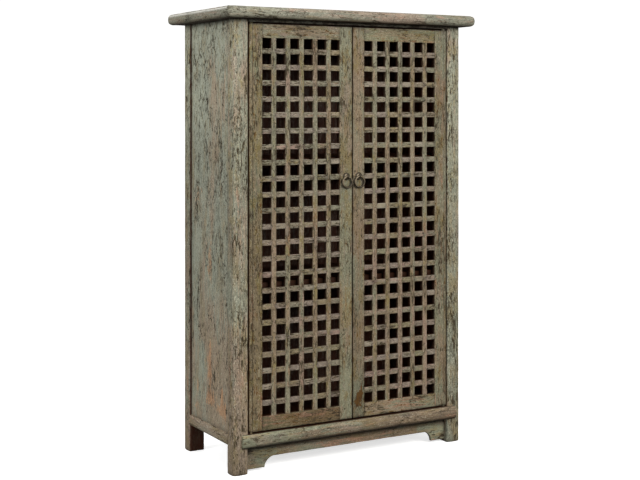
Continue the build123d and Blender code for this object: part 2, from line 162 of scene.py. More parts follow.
def rect(u0, u1, v0, v1, r=2.0, **kw):
    rr = r if isinstance(r, (tuple, list)) else (r, r, r, r)
    return section([(u0, v0, rr[0]), (u1, v0, rr[1]), (u1, v1, rr[2]), (u0, v1, rr[3])], **kw)


AXES = {"x": (1, 0, 0), "y": (0, 1, 0), "z": (0, 0, 1), "-x": (-1, 0, 0), "-y": (0, -1, 0), "-z": (0, 0, -1)}


class Timber:
    """Collects closed, worn lengths of timber into one mesh."""

    def __init__(self):
        self.v, self.q, self.wear, self.tone, self.grime, self.dark = [], [], [], [], [], []
        self.quads, self.tris = [], []
        self.n = 0

    def put(self, v, q, wear, tone, grime, quads, tris, dark=0.0):
        m = len(v)
        self.v.append(v)
        self.q.append(q)
        self.wear.append(np.broadcast_to(wear, (m,)).astype(float))
        self.tone.append(np.broadcast_to(tone, (m,)).astype(float))
        self.grime.append(np.clip(np.broadcast_to(grime, (m,)), 0, 1).astype(float))
        self.dark.append(np.clip(np.broadcast_to(dark, (m,)), 0, 1).astype(float))
        if len(quads):
            self.quads.append(np.array(quads) + self.n)
        if len(tris):
            self.tris.append(np.array(tris) + self.n)
        self.n += m

    def sweep(self, sec, w0, w1, axes, origin=(0, 0, 0), step=8.0, ease=(1.5, 1.5), amp=1.0, arris=1.0,
              seed=0, tone=0.5, grime=None, dark=None, capfill=(0.35, 0.7), bend=None, post=None, arc=3):
        P, N, wear = sec
        M = len(P)
        cen = P.mean(0)
        R = np.array([AXES[a] for a in axes], float)       # rows: u, v, w in xyz
        f0 = w0 if callable(w0) else (lambda u, v: np.full(len(u), float(w0)))
        f1 = w1 if callable(w1) else (lambda u, v: np.full(len(u), float(w1)))
        U, V, Wc, NU, NV, NW, WE, CAP = [], [], [], [], [], [], [], []

        def ring(inset, scale, where, dw, nn, nw, we, cap):
            q = P - N * inset
            q = cen + (q - cen) * scale
            u, v = q[:, 0], q[:, 1]
            if where == 0:
                w = f0(u, v) + dw
            elif where == 1:
                w = f1(u, v) - dw
            else:
                a, b = f0(u, v) + ease[0], f1(u, v) - ease[1]
                w = a + (b - a) * dw
            U.append(u); V.append(v); Wc.append(w)
            NU.append(N[:, 0] * nn); NV.append(N[:, 1] * nn); NW.append(np.full(M, float(nw)))
            WE.append(np.maximum(wear, we) if we is not None else np.zeros(M))
            CAP.append(np.full(M, float(cap)))

        for s in capfill:
            ring(ease[0], s, 0, 0.0, 0, -1, None, 1)
        for k in range(arc + 1):
            a = math.pi / 2 * k / arc
            ring(ease[0] * (1 - math.sin(a)), 1, 0, ease[0] * (1 - math.cos(a)), math.sin(a), -math.cos(a), 0.9, 0.0)
        mid_len = float(np.mean(f1(P[:, 0], P[:, 1]) - f0(P[:, 0], P[:, 1]))) - ease[0] - ease[1]
        K = max(1, int(round(mid_len / step)))
        first_mid = len(U)
        for k in range(1, K):
            ring(0, 1, 2, k / K, 1, 0, 0.0, 0.0)
        for k in range(arc, -1, -1):
            a = math.pi / 2 * k / arc
            ring(ease[1] * (1 - math.sin(a)), 1, 1, ease[1] * (1 - math.cos(a)), math.sin(a), math.cos(a), 0.9, 0.0)
        for s in reversed(capfill):
            ring(ease[1], s, 1, 0.0, 0, 1, None, 1)
        RN = len(U)
        u, v, w = (np.concatenate(x) for x in (U, V, Wc))
        nu, nv, nw = (np.concatenate(x) for x in (NU, NV, NW))
        we = np.concatenate(WE)
        cap = np.concatenate(CAP)
        # centres of the two ends
        cu = np.array([cen[0], cen[0]])
        cv = np.array([cen[1], cen[1]])
        cw = np.array([f0(cu[:1], cv[:1])[0], f1(cu[:1], cv[:1])[0]])
        u, v, w = np.append(u, cu), np.append(v, cv), np.append(w, cw)
        nu, nv, nw = np.append(nu, [0, 0]), np.append(nv, [0, 0]), np.append(nw, [-1, 1])
        we, cap = np.append(we, [0, 0]), np.append(cap, [1, 1])
        off = np.array([rnd(seed, 1) * 9000, rnd(seed, 2) * 9000, rnd(seed, 3) * 9000]).round(1)
        q = np.stack([u, v, w], 1) + off
        d = 0.42 * amp * fbm(q / (75, 75, 430), 3 + seed, 2) + 0.16 * amp * fbm(q / (15, 15, 95), 5 + seed, 2)
        chip = np.maximum(0, vnoise(q / (10, 10, 30), 9 + seed) - 0.1)
        gouge = np.maximum(0, vnoise(q / (26, 26, 75), 11 + seed) - 0.42)
        d = d - arris * we * (0.3 + 1.5 * chip + 2.6 * gouge)
        d = d * np.where(cap > 0, 0.4, 1.0)
        u2, v2, w2 = u + nu * d, v + nv * d, w + nw * d
        if bend is not None:
            u2, v2, w2 = bend(u2, v2, w2)
        loc = np.stack([u2, v2, w2], 1)
        xyz = loc @ R + np.array(origin, float)
        if post is not None:
            xyz = post(xyz)
        j = np.arange(M)
        j2 = (j + 1) % M
        i = np.arange(RN - 1)[:, None]
        quads = np.stack([i * M + j, i * M + j2, (i + 1) * M + j2, (i + 1) * M + j], -1).reshape(-1, 4)
        c0, c1 = RN * M, RN * M + 1
        t0 = np.stack([np.full(M, c0), j2, j], -1)
        t1 = np.stack([np.full(M, c1), (RN - 1) * M + j, (RN - 1) * M + j2], -1)
        tris = np.concatenate([t0, t1])
        if np.linalg.det(R) < 0:
            quads, tris = quads[:, ::-1], tris[:, ::-1]
        gr = 0.0 if grime is None else grime(xyz)
        tn = tone(xyz) if callable(tone) else tone
        dk = 0.0 if dark is None else dark(xyz)
        self.put(xyz, q, we, tn, gr, quads, tris, dk)

    def build(self, name, material, body, nodes, rust=None, sage=None, calm=None, extra=None):
        me = bpy.data.meshes.new(name)
        v = np.concatenate(self.v) * MM
        quads = np.concatenate(self.quads) if self.quads else np.zeros((0, 4), int)
        tris = np.concatenate(self.tris) if self.tris else np.zeros((0, 3), int)
        me.vertices.add(len(v))
        me.vertices.foreach_set("co", v.astype(np.float32).ravel())
        me.loops.add(len(quads) * 4 + len(tris) * 3)
        me.loops.foreach_set("vertex_index", np.concatenate([quads.ravel(), tris.ravel()]).astype(np.int32))
        me.polygons.add(len(quads) + len(tris))
        starts = np.concatenate([np.arange(len(quads)) * 4, len(quads) * 4 + np.arange(len(tris)) * 3])
        me.polygons.foreach_set("loop_start", starts.astype(np.int32))
        me.update(calc_edges=True)
        me.validate()
        me.polygons.foreach_set("use_smooth", np.ones(len(me.polygons), bool))
        a = me.attributes.new("gco", "FLOAT_VECTOR", "POINT")
        a.data.foreach_set("vector", (np.concatenate(self.q) * MM).astype(np.float32).ravel())
        p = v / MM
        age = [np.clip(1 - v[:, 2] / 1.754, 0, 1) ** 0.8]
        rs = [np.clip(np.full(len(v), 0.25) if rust is None else rust(p), 0, 1)]
        sg = [np.clip(np.full(len(v), 0.5) if sage is None else sage(p), 0, 1)]
        cl = [np.full(len(v), 0.0) if calm is None else calm(p)]
        for key, arr in (("wear", self.wear), ("tone", self.tone), ("grime", self.grime), ("dark", self.dark), ("age", age),
                         ("rust", rs), ("sage", sg), ("calm", cl), *((k, [fn(p)]) for k, fn in (extra or {}).items())):
            a = me.attributes.new(key, "FLOAT", "POINT")
            a.data.foreach_set("value", np.concatenate(arr).astype(np.float32))
        me.materials.append(material)
        o = bpy.data.objects.new(name, me)
        bpy.context.scene.collection.objects.link(o)
        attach(o, body)
        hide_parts(*nodes)
        return o


# ---------------------------------------------------------------------------
# materials
# ---------------------------------------------------------------------------
def lin(c):
    """sRGB 0-255 to linear RGBA."""
    out = []
    for x in c:
        x = max(0.0, x / 255.0)
        out.append(x / 12.92 if x <= 0.04045 else ((x + 0.055) / 1.055) ** 2.4)
    return (*out, 1.0)


class Nodes:
    def __init__(self, name):
        self.mat = bpy.data.materials.new(name)
        self.mat.use_nodes = True
        self.t = self.mat.node_tree
        self.t.nodes.clear()
        self.out = self.t.nodes.new("ShaderNodeOutputMaterial")
        self.bsdf = self.t.nodes.new("ShaderNodeBsdfPrincipled")
        self.t.links.new(self.bsdf.outputs[0], self.out.inputs[0])

    def put(self, sock, x):
        if isinstance(x, bpy.types.NodeSocket):
            self.t.links.new(x, sock)
        elif x is not None:
            sock.default_value = x

    def vec(self, name):
        n = self.t.nodes.new("ShaderNodeAttribute")
        n.attribute_name = name
        return n.outputs["Vector"]

    def attr(self, name):
        n = self.t.nodes.new("ShaderNodeAttribute")
        n.attribute_name = name
        return n.outputs["Fac"]

    def map(self, v, scale, loc=(0, 0, 0)):
        n = self.t.nodes.new("ShaderNodeMapping")
        self.put(n.inputs["Vector"], v)
        n.inputs["Scale"].default_value = scale
        n.inputs["Location"].default_value = loc
        return n.outputs[0]

    def noise(self, v, detail=3.0, rough=0.55, dist=0.0):
        n = self.t.nodes.new("ShaderNodeTexNoise")
        self.put(n.inputs["Vector"], v)
        n.inputs["Scale"].default_value = 1.0
        n.inputs["Detail"].default_value = detail
        n.inputs["Roughness"].default_value = rough
        n.inputs["Distortion"].default_value = dist
        return n.outputs[0]

    def voronoi(self, v, feature="DISTANCE_TO_EDGE"):
        n = self.t.nodes.new("ShaderNodeTexVoronoi")
        n.feature = feature
        self.put(n.inputs["Vector"], v)
        n.inputs["Scale"].default_value = 1.0
        return n.outputs["Distance"]

    def warp(self, v, amount, freq):
        """v moved by a noise vector."""
        n = self.t.nodes.new("ShaderNodeTexNoise")
        self.put(n.inputs["Vector"], self.map(v, freq))
        n.inputs["Scale"].default_value = 1.0
        n.inputs["Detail"].default_value = 2.0
        s = self.t.nodes.new("ShaderNodeVectorMath")
        s.operation = "MULTIPLY_ADD"
        self.put(s.inputs[0], n.outputs["Color"])
        s.inputs[1].default_value = amount
        self.put(s.inputs[2], v)
        return s.outputs[0]

    def math(self, op, a, b=None, c=None, clamp=False):
        n = self.t.nodes.new("ShaderNodeMath")
        n.operation = op
        n.use_clamp = clamp
        for sock, x in zip(n.inputs, (a, b, c)):
            if x is not None:
                self.put(sock, x)
        return n.outputs[0]

    def step(self, x, lo, hi, a=0.0, b=1.0):
        n = self.t.nodes.new("ShaderNodeMapRange")
        n.interpolation_type = "SMOOTHSTEP"
        self.put(n.inputs["Value"], x)
        self.put(n.inputs["From Min"], lo)
        self.put(n.inputs["From Max"], hi)
        n.inputs["To Min"].default_value = a
        n.inputs["To Max"].default_value = b
        return n.outputs[0]

    def mix(self, fac, a, b, mode="MIX"):
        n = self.t.nodes.new("ShaderNodeMix")
        n.data_type = "RGBA"
        n.blend_type = mode
        self.put(n.inputs["Factor"], fac)
        self.put(n.inputs[6], a)
        self.put(n.inputs[7], b)
        return n.outputs[2]

    def gain(self, col, f):
        n = self.t.nodes.new("ShaderNodeVectorMath")
        n.operation = "SCALE"
        self.put(n.inputs[0], col)
        self.put(n.inputs["Scale"], f)
        return n.outputs[0]

    def bump(self, height, distance, strength):
        n = self.t.nodes.new("ShaderNodeBump")
        n.inputs["Distance"].default_value = distance
        n.inputs["Strength"].default_value = strength
        self.put(n.inputs["Height"], height)
        return n.outputs[0]


def painted(name, sage, taupe, olive, patch, wood, pale, *, old=(118, 100, 76), halo=(104, 94, 68), lean=0.0, olive_at=0.8,
            patch_at=2.3, dash=1.15, speck=1.65, flake=2.05, dense=0.5, crack=0.6, wear=1.0, edge=0.3, streak=1.0, grit=1.0,
            aging=0.6, tint=None, dirt_and_shade_colour=(38, 29, 19), bare_and_shade_colour=(56, 40, 27), spots=False, edge_highlight=False, rim=0.4, patch_gain=3.1, yellow=None, mauve=None, stain=None):
    """Old paint in several coats over wood, worn through in places.  Thresholds are in standard deviations."""
    g = Nodes(name)
    co = g.vec("gco")
    wr, tone, grime, dark, age = g.attr("wear"), g.attr("tone"), g.attr("grime"), g.attr("dark"), g.attr("age")
    rust, green, calm = g.attr("rust"), g.attr("sage"), g.attr("calm")
    m = g.math

    def nz(scale, loc=(0, 0, 0), detail=3, rough=0.6, dist=0.0, sd=0.078):
        return m("MULTIPLY_ADD", g.noise(g.map(co, scale, loc), detail, rough, dist), 1 / sd, -0.5 / sd)

    def add(*terms):
        x = terms[0]
        for y in terms[1:]:
            x = m("MULTIPLY_ADD", y[0], y[1], x) if isinstance(y, tuple) else m("ADD", x, y)
        return x

    big = nz((5.5, 5.5, 1.9), (0, 0, 0), 4, 0.6)
    big2 = nz((10, 10, 3.0), (3.3, 1.2, 7.1), 4, 0.62, 0.3)
    mid = nz((24, 24, 7), (5.3, 8.2, 1.1), 4, 0.62)
    blot = nz((55, 55, 22), (0.3, 2.2, 4.1), 4, 0.66)
    strk = nz((150, 150, 8), (1, 5, 2), 4, 0.62)
    spk = nz((165, 165, 70), (4, 3, 9), 3, 0.7)
    grain = nz((430, 430, 16), (2, 7, 1), 3, 0.6)
    fine = nz((330, 330, 170), (9, 9, 2), 2, 0.6)
    dens = nz((14, 14, 5), (9, 2, 4), 3, 0.55)
    low0 = m("MULTIPLY", wr, g.step(nz((48, 48, 14), (1, 8, 8), 3, 0.6), 0.0, 1.6))
    # coats, seen through one another
    col = g.mix(g.step(add(m("MULTIPLY_ADD", green, -3.4, 1.7 + lean), (big, 0.8), (strk, 0.35), (spk, 0.2)), -0.7, 0.7), lin(sage), lin(taupe))
    col = g.mix(m("MULTIPLY", g.step(add(mid, (strk, 0.5), (spk, 0.35)), olive_at, olive_at + 0.9), 0.75), col, lin(olive))
    if yellow:
        yc, at, amt = yellow
        ym = g.step(add(nz((19, 19, 6.5), (4.4, 0.7, 2.1), 4, 0.62), (spk, 0.45), (blot, 0.4)), at, at + 0.8)
        col = g.mix(m("MULTIPLY", ym, amt), col, lin(yc))
    if mauve:
        yc, at, amt = mauve
        ym = g.step(add(nz((23, 23, 8), (2.2, 5.1, 3.3), 4, 0.62), (fine, 0.3), (blot, -0.3)), at, at + 0.8)
        col = g.mix(m("MULTIPLY", ym, amt), col, lin(yc))
    if tint:
        for lo, hi, tc, amt in tint:
            f = m("MULTIPLY", m("MULTIPLY", g.step(tone, lo, lo + 0.02), m("SUBTRACT", 1.0, g.step(tone, hi - 0.02, hi))), amt)
            col = g.mix(f, col, lin(tc))
    col = g.mix(m("MULTIPLY", m("MULTIPLY", age, g.step(add(mid, (strk, 0.4)), -0.9, 1.1)), aging), col, lin(old))
    pt = add(m("MULTIPLY_ADD", rust, patch_gain, -patch_at), big2, (strk, 0.35), (spk, 0.35), (blot, 0.35))
    col = g.mix(m("MULTIPLY", g.step(pt, 0.0, 0.9), 0.8), col, lin(patch))
    if stain:
        tc, at, amt = stain
        sm = g.step(add(nz((42, 42, 11), (6.1, 3.7, 0.4), 4, 0.64), (spk, 0.4), (low0, 0.5)), at, at + 0.7)
        col = g.mix(m("MULTIPLY", sm, amt), col, lin(tc))
    # value changes at every size
    v = add(m("MULTIPLY_ADD", blot, 0.05, 1.0), (strk, 0.06 * streak), (spk, 0.085 * grit), (grain, 0.05), (fine, 0.08 * grit), (mid, 0.03))
    v = m("MULTIPLY_ADD", m("SUBTRACT", tone, 0.5), 0.16, v)
    col = g.gain(col, m("MAXIMUM", v, 0.35))
    # pale dry flecks, and pale worn arrises
    pf = g.step(add(m("MULTIPLY", spk, 0.7), (fine, 0.6), (dens, -0.25), (wr, edge), (calm, -0.6)), 1.0, 1.9)
    col = g.mix(m("MULTIPLY", pf, 0.62), col, lin(pale))
    # short dashes and specks where the coat has lifted
    low = m("MULTIPLY", low0, wear)
    dn = add(nz((165, 165, 30), (8, 1, 3), 4, 0.62, 0.3), (dens, dense), (low, rim), (calm, -1.0))
    halo1 = g.step(dn, dash - 0.2, dash + 0.05)
    core1 = g.step(dn, dash + 0.15, dash + 0.3)
    sp = g.step(add(nz((190, 190, 85), (5, 9, 2), 2, 0.6), (dens, dense * 0.7), (low, rim * 0.7), (calm, -0.8)), speck, speck + 0.18)
    fl = add(nz((90, 90, 20), (2, 4, 3), 3, 0.58, 0.4, 0.078), (dens, dense), (low, rim + 0.1), (calm, -0.6))
    fl1 = g.step(fl, flake - 0.05, flake + 0.08)
    fl2 = g.step(fl, flake + 0.12, flake + 0.22)
    col = g.mix(m("MULTIPLY", m("MAXIMUM", halo1, fl1), 0.6), col, g.gain(g_rgb(g, halo), m("MULTIPLY_ADD", grain, 0.16, 1.0)))
    deep = m("MAXIMUM", m("MAXIMUM", core1, m("MULTIPLY", sp, 0.85)), fl2)
    col = g.mix(m("MULTIPLY", deep, 0.9), col, g.gain(g_rgb(g, wood), m("MULTIPLY_ADD", grain, 0.2, 1.0)))
    # long hair cracks along the grain
    hair = nz((190, 190, 3.2), (6, 6, 6), 3, 0.5, 0.25)
    hm = g.step(nz((30, 30, 3.5), (7, 7, 1), 3, 0.6), 0.35, 1.1)
    hc = m("MULTIPLY", m("SUBTRACT", 1.0, g.step(m("ABSOLUTE", hair), 0.03, 0.13)), m("MULTIPLY", hm, crack))
    col = g.mix(hc, col, lin([x * 0.95 for x in wood]))
    # crackle
    vo = g.voronoi(g.warp(g.map(co, (44, 44, 21)), (1.1, 1.1, 1.1), (1.3, 1.3, 1.3)))
    cm = m("MULTIPLY", g.step(add(nz((13, 13, 6), (7, 3, 1), 3, 0.6), (calm, -1.2)), 0.0, 0.9), g.step(add(spk, (blot, 0.8)), -0.9, 0.1))
    ck = m("MULTIPLY", m("SUBTRACT", 1.0, g.step(vo, 0.03, 0.08)), m("MULTIPLY", cm, crack * 1.2), clamp=True)
    col = g.mix(ck, col, lin([x * 1.05 for x in wood]))
    if spots:
        ochre = g.mix(g.step(add(spk, blot), -0.6, 0.8), lin((60, 35, 5)), lin((86, 57, 15)))
        col = g.mix(m("MULTIPLY", g.step(add(g.attr("ochre"), (blot, 0.17), (spk, 0.15), (strk, 0.1), (deep, -0.3)), 0.3, 0.5), 0.97), col, ochre)
    # a painted highlight along a top arris, where the pale attribute is set
    if edge_highlight:
        col = g.mix(m("MULTIPLY", g.attr("pale"), m("MULTIPLY_ADD", add(spk, strk), 0.15, 0.85), clamp=True), col, lin((216, 214, 204)))
    # dirt in the joints, with painted shade in gaps, under overhangs and along lower edges
    gm = m("MULTIPLY", grime, m("MULTIPLY_ADD", add(blot, spk), 0.13, 0.95), clamp=True)
    col = g.mix(gm, col, lin(dirt_and_shade_colour))
    # faces that were never painted, darkened further as painted shade; calm lightens them as painted light
    bw = g.gain(g_rgb(g, bare_and_shade_colour), m("MULTIPLY", m("MULTIPLY_ADD", add(grain, (blot, 0.6)), 0.16, 1.0), m("MULTIPLY_ADD", calm, 1.1, 1.0)))
    col = g.mix(m("MULTIPLY", dark, m("MULTIPLY_ADD", blot, 0.06, 0.97), clamp=True), col, bw)
    g.put(g.bsdf.inputs["Base Color"], col)
    # finish
    rough = m("MULTIPLY_ADD", blot, 0.05, 0.62)
    rough = m("MULTIPLY_ADD", deep, 0.15, rough, clamp=True)
    g.put(g.bsdf.inputs["Roughness"], rough)
    g.bsdf.inputs["Specular IOR Level"].default_value = 0.3
    h = m("MULTIPLY_ADD", m("MAXIMUM", halo1, fl1), -0.35, m("MULTIPLY", blot, 0.05))
    h = m("MULTIPLY_ADD", deep, -0.5, h)
    h = m("MULTIPLY_ADD", m("MAXIMUM", ck, hc), -0.45, h)
    h = add(h, (grain, 0.04), (spk, 0.06), (pf, 0.12))
    g.put(g.bsdf.inputs["Normal"], g.bump(h, 0.0016, 0.75))
    return g.mat


def g_rgb(g, c):
    n = g.t.nodes.new("ShaderNodeRGB")
    n.outputs[0].default_value = lin(c)
    return n.outputs[0]


def stained(name, a, b, c, rough=0.6):
    """Dark stained softwood, as inside the cabinet."""
    g = Nodes(name)
    co = g.vec("gco")
    m = g.math
    wr, tone, grime = g.attr("wear"), g.attr("tone"), g.attr("grime")
    ringv = g.warp(g.map(co, (26, 26, 1.6)), (1.2, 1.2, 0.3), (0.5, 0.5, 0.4))
    rings = g.noise(ringv, 2, 0.5, 0.4)
    band = m("FRACT", m("MULTIPLY", rings, 9.0))
    late = g.step(band, 0.55, 0.95)
    grain = g.noise(g.map(co, (520, 520, 13), (2, 7, 1)), 3, 0.6)
    big = g.noise(g.map(co, (6, 6, 2), (1, 1, 1)), 3, 0.6)
    col = g.mix(g.step(big, 0.38, 0.62), lin(a), lin(b))
    col = g.mix(m("MULTIPLY", late, 0.55), col, lin(c))
    v = m("MULTIPLY_ADD", m("SUBTRACT", grain, 0.5), 0.9, 1.0)
    v = m("MULTIPLY_ADD", m("SUBTRACT", tone, 0.5), 0.35, v)
    v = m("MULTIPLY_ADD", wr, 0.18, v)
    col = g.gain(col, v)
    # dirt and painted shade where the attribute asks
    col = g.mix(m("MULTIPLY", grime, 0.7), col, lin([x * 0.4 for x in c]))
    g.put(g.bsdf.inputs["Base Color"], col)
    g.put(g.bsdf.inputs["Roughness"], m("MULTIPLY_ADD", grain, 0.3, rough - 0.15))
    g.bsdf.inputs["Specular IOR Level"].default_value = 0.15
    h = m("MULTIPLY_ADD", grain, 0.5, m("MULTIPLY", late, 0.35))
    g.put(g.bsdf.inputs["Normal"], g.bump(h, 0.0008, 0.6))
    return g.mat


def iron(name, dark, mid, worn, rust):
    """Old iron: dark in the recesses, rubbed pale brown on the crests."""
    g = Nodes(name)
    co = g.vec("gco")
    m = g.math
    wr = g.attr("wear")
    n1 = g.noise(g.map(co, (190, 190, 190)), 4, 0.6)
    n2 = g.noise(g.map(co, (700, 700, 700), (3, 1, 2)), 3, 0.6)
    n3 = g.noise(g.map(co, (120, 120, 120), (8, 3, 1)), 3, 0.6)
    w = m("ADD", wr, m("MULTIPLY_ADD", n1, 1.2, -0.6))
    col = g.mix(g.step(w, 0.15, 0.6), lin(dark), lin(mid))
    col = g.mix(g.step(w, 0.55, 0.95), col, lin(worn))
    col = g.mix(m("MULTIPLY", g.step(n3, 0.52, 0.64), 0.5), col, lin(rust))
    col = g.gain(col, m("MULTIPLY_ADD", m("SUBTRACT", n2, 0.5), 0.7, 1.0))
    g.put(g.bsdf.inputs["Base Color"], col)
    g.bsdf.inputs["Metallic"].default_value = 0.45
    g.put(g.bsdf.inputs["Roughness"], m("MULTIPLY_ADD", w, -0.15, 0.6, clamp=True))
    h = m("MULTIPLY_ADD", n2, 0.4, n1)
    g.put(g.bsdf.inputs["Normal"], g.bump(h, 0.0007, 0.7))
    return g.mat


WOOD = (56, 47, 32)
INNER = (55, 25, 8)
MAT = {}
MAT["cap"] = painted("cap_paint", (140, 139, 121), (146, 130, 113), (120, 110, 86), (148, 122, 104), WOOD, (174, 174, 158),
                     dash=1.6, speck=1.85, flake=2.3, dense=0.35, aging=0.0, edge_highlight=True)
MAT["panel"] = painted("panel_paint", (157, 160, 142), (160, 144, 122), (132, 125, 101), (184, 141, 104), WOOD, (188, 188, 170),
                       aging=0.2, old=(148, 130, 104), dash=1.25, speck=1.65, flake=1.95, dense=0.35, crack=0.95, patch_gain=4.2, patch_at=2.7, grit=1.2,
                       yellow=((142, 132, 102), 0.9, 0.5), bare_and_shade_colour=INNER)
MAT["carcass"] = painted("carcass_paint", (151, 152, 132), (154, 137, 117), (132, 122, 94), (154, 124, 102), WOOD, (184, 182, 162),
                         dash=1.4, speck=1.7, flake=2.05, dense=0.4, aging=0.5, old=(132, 114, 80), grit=1.15, halo=(108, 94, 62),
                         yellow=((138, 125, 84), 1.1, 0.6), bare_and_shade_colour=INNER)
MAT["door"] = painted("door_paint", (125, 124, 101), (131, 113, 90), (112, 98, 66), (138, 106, 84), WOOD, (160, 154, 132),
                      dash=1.4, speck=1.75, flake=2.1, dense=0.4, aging=0.3, old=(112, 94, 64), halo=(94, 79, 50), spots=True, grit=1.1,
                      yellow=((118, 102, 58), 0.6, 0.6), mauve=((134, 116, 102), 1.0, 0.5), bare_and_shade_colour=INNER)
MAT["olive"] = painted("door_paint_olive", (122, 122, 95), (129, 114, 87), (111, 98, 60), (138, 106, 82), WOOD, (160, 154, 130),
                       dash=1.4, speck=1.75, flake=2.1, dense=0.4, aging=0.3, old=(113, 96, 60), halo=(94, 79, 48), spots=True, grit=1.1,
                       yellow=((116, 102, 52), 0.4, 0.65), mauve=((134, 116, 100), 1.3, 0.5), bare_and_shade_colour=INNER)
MAT["brown"] = painted("door_paint_brown", (114, 106, 78), (113, 92, 64), (98, 80, 47), (132, 98, 78), WOOD, (150, 138, 112),
                       dash=1.35, speck=1.7, flake=2.0, dense=0.4, aging=0.3, old=(104, 84, 54), halo=(84, 66, 38), spots=True, grit=1.15, streak=1.5,
                       yellow=((110, 92, 48), 0.6, 0.6), mauve=((132, 104, 88), 1.1, 0.5), bare_and_shade_colour=INNER)
common = dict(aging=0.1, dense=0.4, edge=0.5, rim=0.75, bare_and_shade_colour=INNER)
MAT["rail"] = painted("rail_paint", (128, 130, 108), (128, 111, 90), (106, 93, 62), (138, 106, 84), WOOD, (164, 159, 138),
                      dash=1.3, speck=1.75, flake=2.0, dense=0.4, aging=0.3, old=(112, 94, 64), halo=(90, 75, 47), grit=1.1, streak=2.4,
                      yellow=((116, 102, 62), 0.9, 0.5), mauve=((134, 116, 102), 0.8, 0.5), bare_and_shade_colour=INNER)
MAT["crossbar"] = painted("crossbar_paint", (125, 121, 100), (128, 114, 95), (112, 99, 68), (142, 115, 102), WOOD, (158, 148, 132),
                          dash=1.45, speck=1.7, flake=2.2, patch_at=1.9,
                          tint=[(0.0, 0.26, (138, 124, 113), 0.6), (0.26, 0.38, (127, 127, 106), 0.45),
                                (0.74, 0.86, (124, 111, 74), 0.5), (0.86, 1.01, (146, 137, 121), 0.55)],
                          yellow=((118, 106, 60), 1.15, 0.65), mauve=((140, 124, 116), 1.1, 0.55), stain=((108, 78, 48), 1.8, 0.7), **common)
MAT["upright"] = painted("upright_paint", (125, 121, 99), (130, 112, 89), (112, 98, 66), (138, 114, 98), WOOD, (160, 152, 132),
                         dash=1.5, speck=1.7, flake=2.2, patch_at=1.9,
                         yellow=((118, 106, 58), 0.8, 0.65), mauve=((136, 118, 106), 1.3, 0.5), stain=((118, 82, 50), 1.45, 0.65), **common)
MAT["inside"] = stained("interior_stain", (58, 29, 9), (47, 23, 7), (32, 15, 5))
MAT["iron"] = iron("dark_iron_finish", (30, 24, 15), (69, 59, 43), (123, 110, 88), (82, 64, 41))


# ---------------------------------------------------------------------------
# posts
# ---------------------------------------------------------------------------
def box_grime(*marks):
    """Darker near given heights: [(z, reach, amount)]; used near the floor and as painted shadow under the cap."""
    def f(p):
        g = np.zeros(len(p))
        for z, reach, amt in marks:
            g = np.maximum(g, amt * np.exp(-np.abs(p[:, 2] - z) / reach))
        return g
    return f


def ramp(x, lo, hi):
    t = np.clip((x - lo) / (hi - lo), 0, 1)
    return t * t * (3 - 2 * t)


def post_inner_bare_and_shade(sx, sy):
    """1 on the two faces of a post that look inwards: bare wood, darkened as painted shade."""
    def f(p):
        du = np.abs(p[:, 0]) - XI                      # 0 on the face that looks across the cabinet
        dv = -(p[:, 1] + 183) if sy == "front" else p[:, 1] - 168
        a = (1 - ramp(du, 2, 6)) * (1 - ramp(dv, 52, 58) if sy == "front" else 1.0)
        if sy == "front":
            low = 1 - ramp(p[:, 2], 96, 104)
            a = a * (1 - low * ramp(dv, 30, 42))
        b = 1 - ramp(dv, 2, 6)
        return np.maximum(a, b) * 0.95
    return f


def spot(p, centre, reach):
    """A soft blob, 1 at its centre."""
    d = ((p - np.array(centre, float)) / np.array(reach, float)) ** 2
    return np.exp(-d.sum(1))


def line(p, a, b, reach):
    """1 along the line from a to b, both (x, z), falling off over reach."""
    q, a, b = p[:, [0, 2]], np.array(a, float), np.array(b, float)
    u = np.clip(((q - a) @ (b - a)) / ((b - a) @ (b - a)), 0, 1)
    d = np.linalg.norm(q - a - u[:, None] * (b - a), axis=1)
    return np.exp(-(d / reach) ** 2)


def side_sage(p):
    t = p[:, 2] / Z_CAP
    s = 0.37 + 0.355 * ramp(t, 0.28, 0.48) + 0.06 * ramp(t, 0.7, 0.85)
    s = s + 0.5 * spot(p, (np.sign(p[0, 0]) * 521, 122, 560), (60, 48, 150)) + 0.25 * spot(p, (np.sign(p[0, 0]) * 521, 60, 400), (60, 60, 90))
    return s - 0.12 * ramp(p[:, 1], -60, -120) * ramp(-t, -0.5, -0.3)


def side_rust(p):
    e = np.sign(p[0, 0]) * 521
    r = 0.12 + 0.16 * ramp(-p[:, 2] / Z_CAP, -0.32, -0.17) - 0.2 * ramp(p[:, 2], 1000, 1350)
    for y, z, ry, rz, a in ((97, 285, 24, 66, 0.9), (-16, 385, 20, 66, 0.75), (-8, 252, 48, 34, 0.85), (-126, 285, 16, 34, 0.6), (-112, 226, 36, 26, 0.9),
                            (120, 200, 30, 24, 0.8), (132, 700, 9, 50, 0.6), (-60, 640, 9, 50, 0.5)):
        r = r + a * spot(p, (e, y, z), (60, ry, rz))
    return r


def side_tone(p):
    z = p[:, 2]
    out = np.abs(p[:, 0]) > 517
    return 0.5 + out * ((1.0 + 0.75 * ramp(p[:, 1], 0, 90)) * ramp(z, 1200, 1480) - 0.15 * ramp(z, 640, 760) * ramp(-z, -1300, -1180) + 0.3 * ramp(-z, -560, -380))


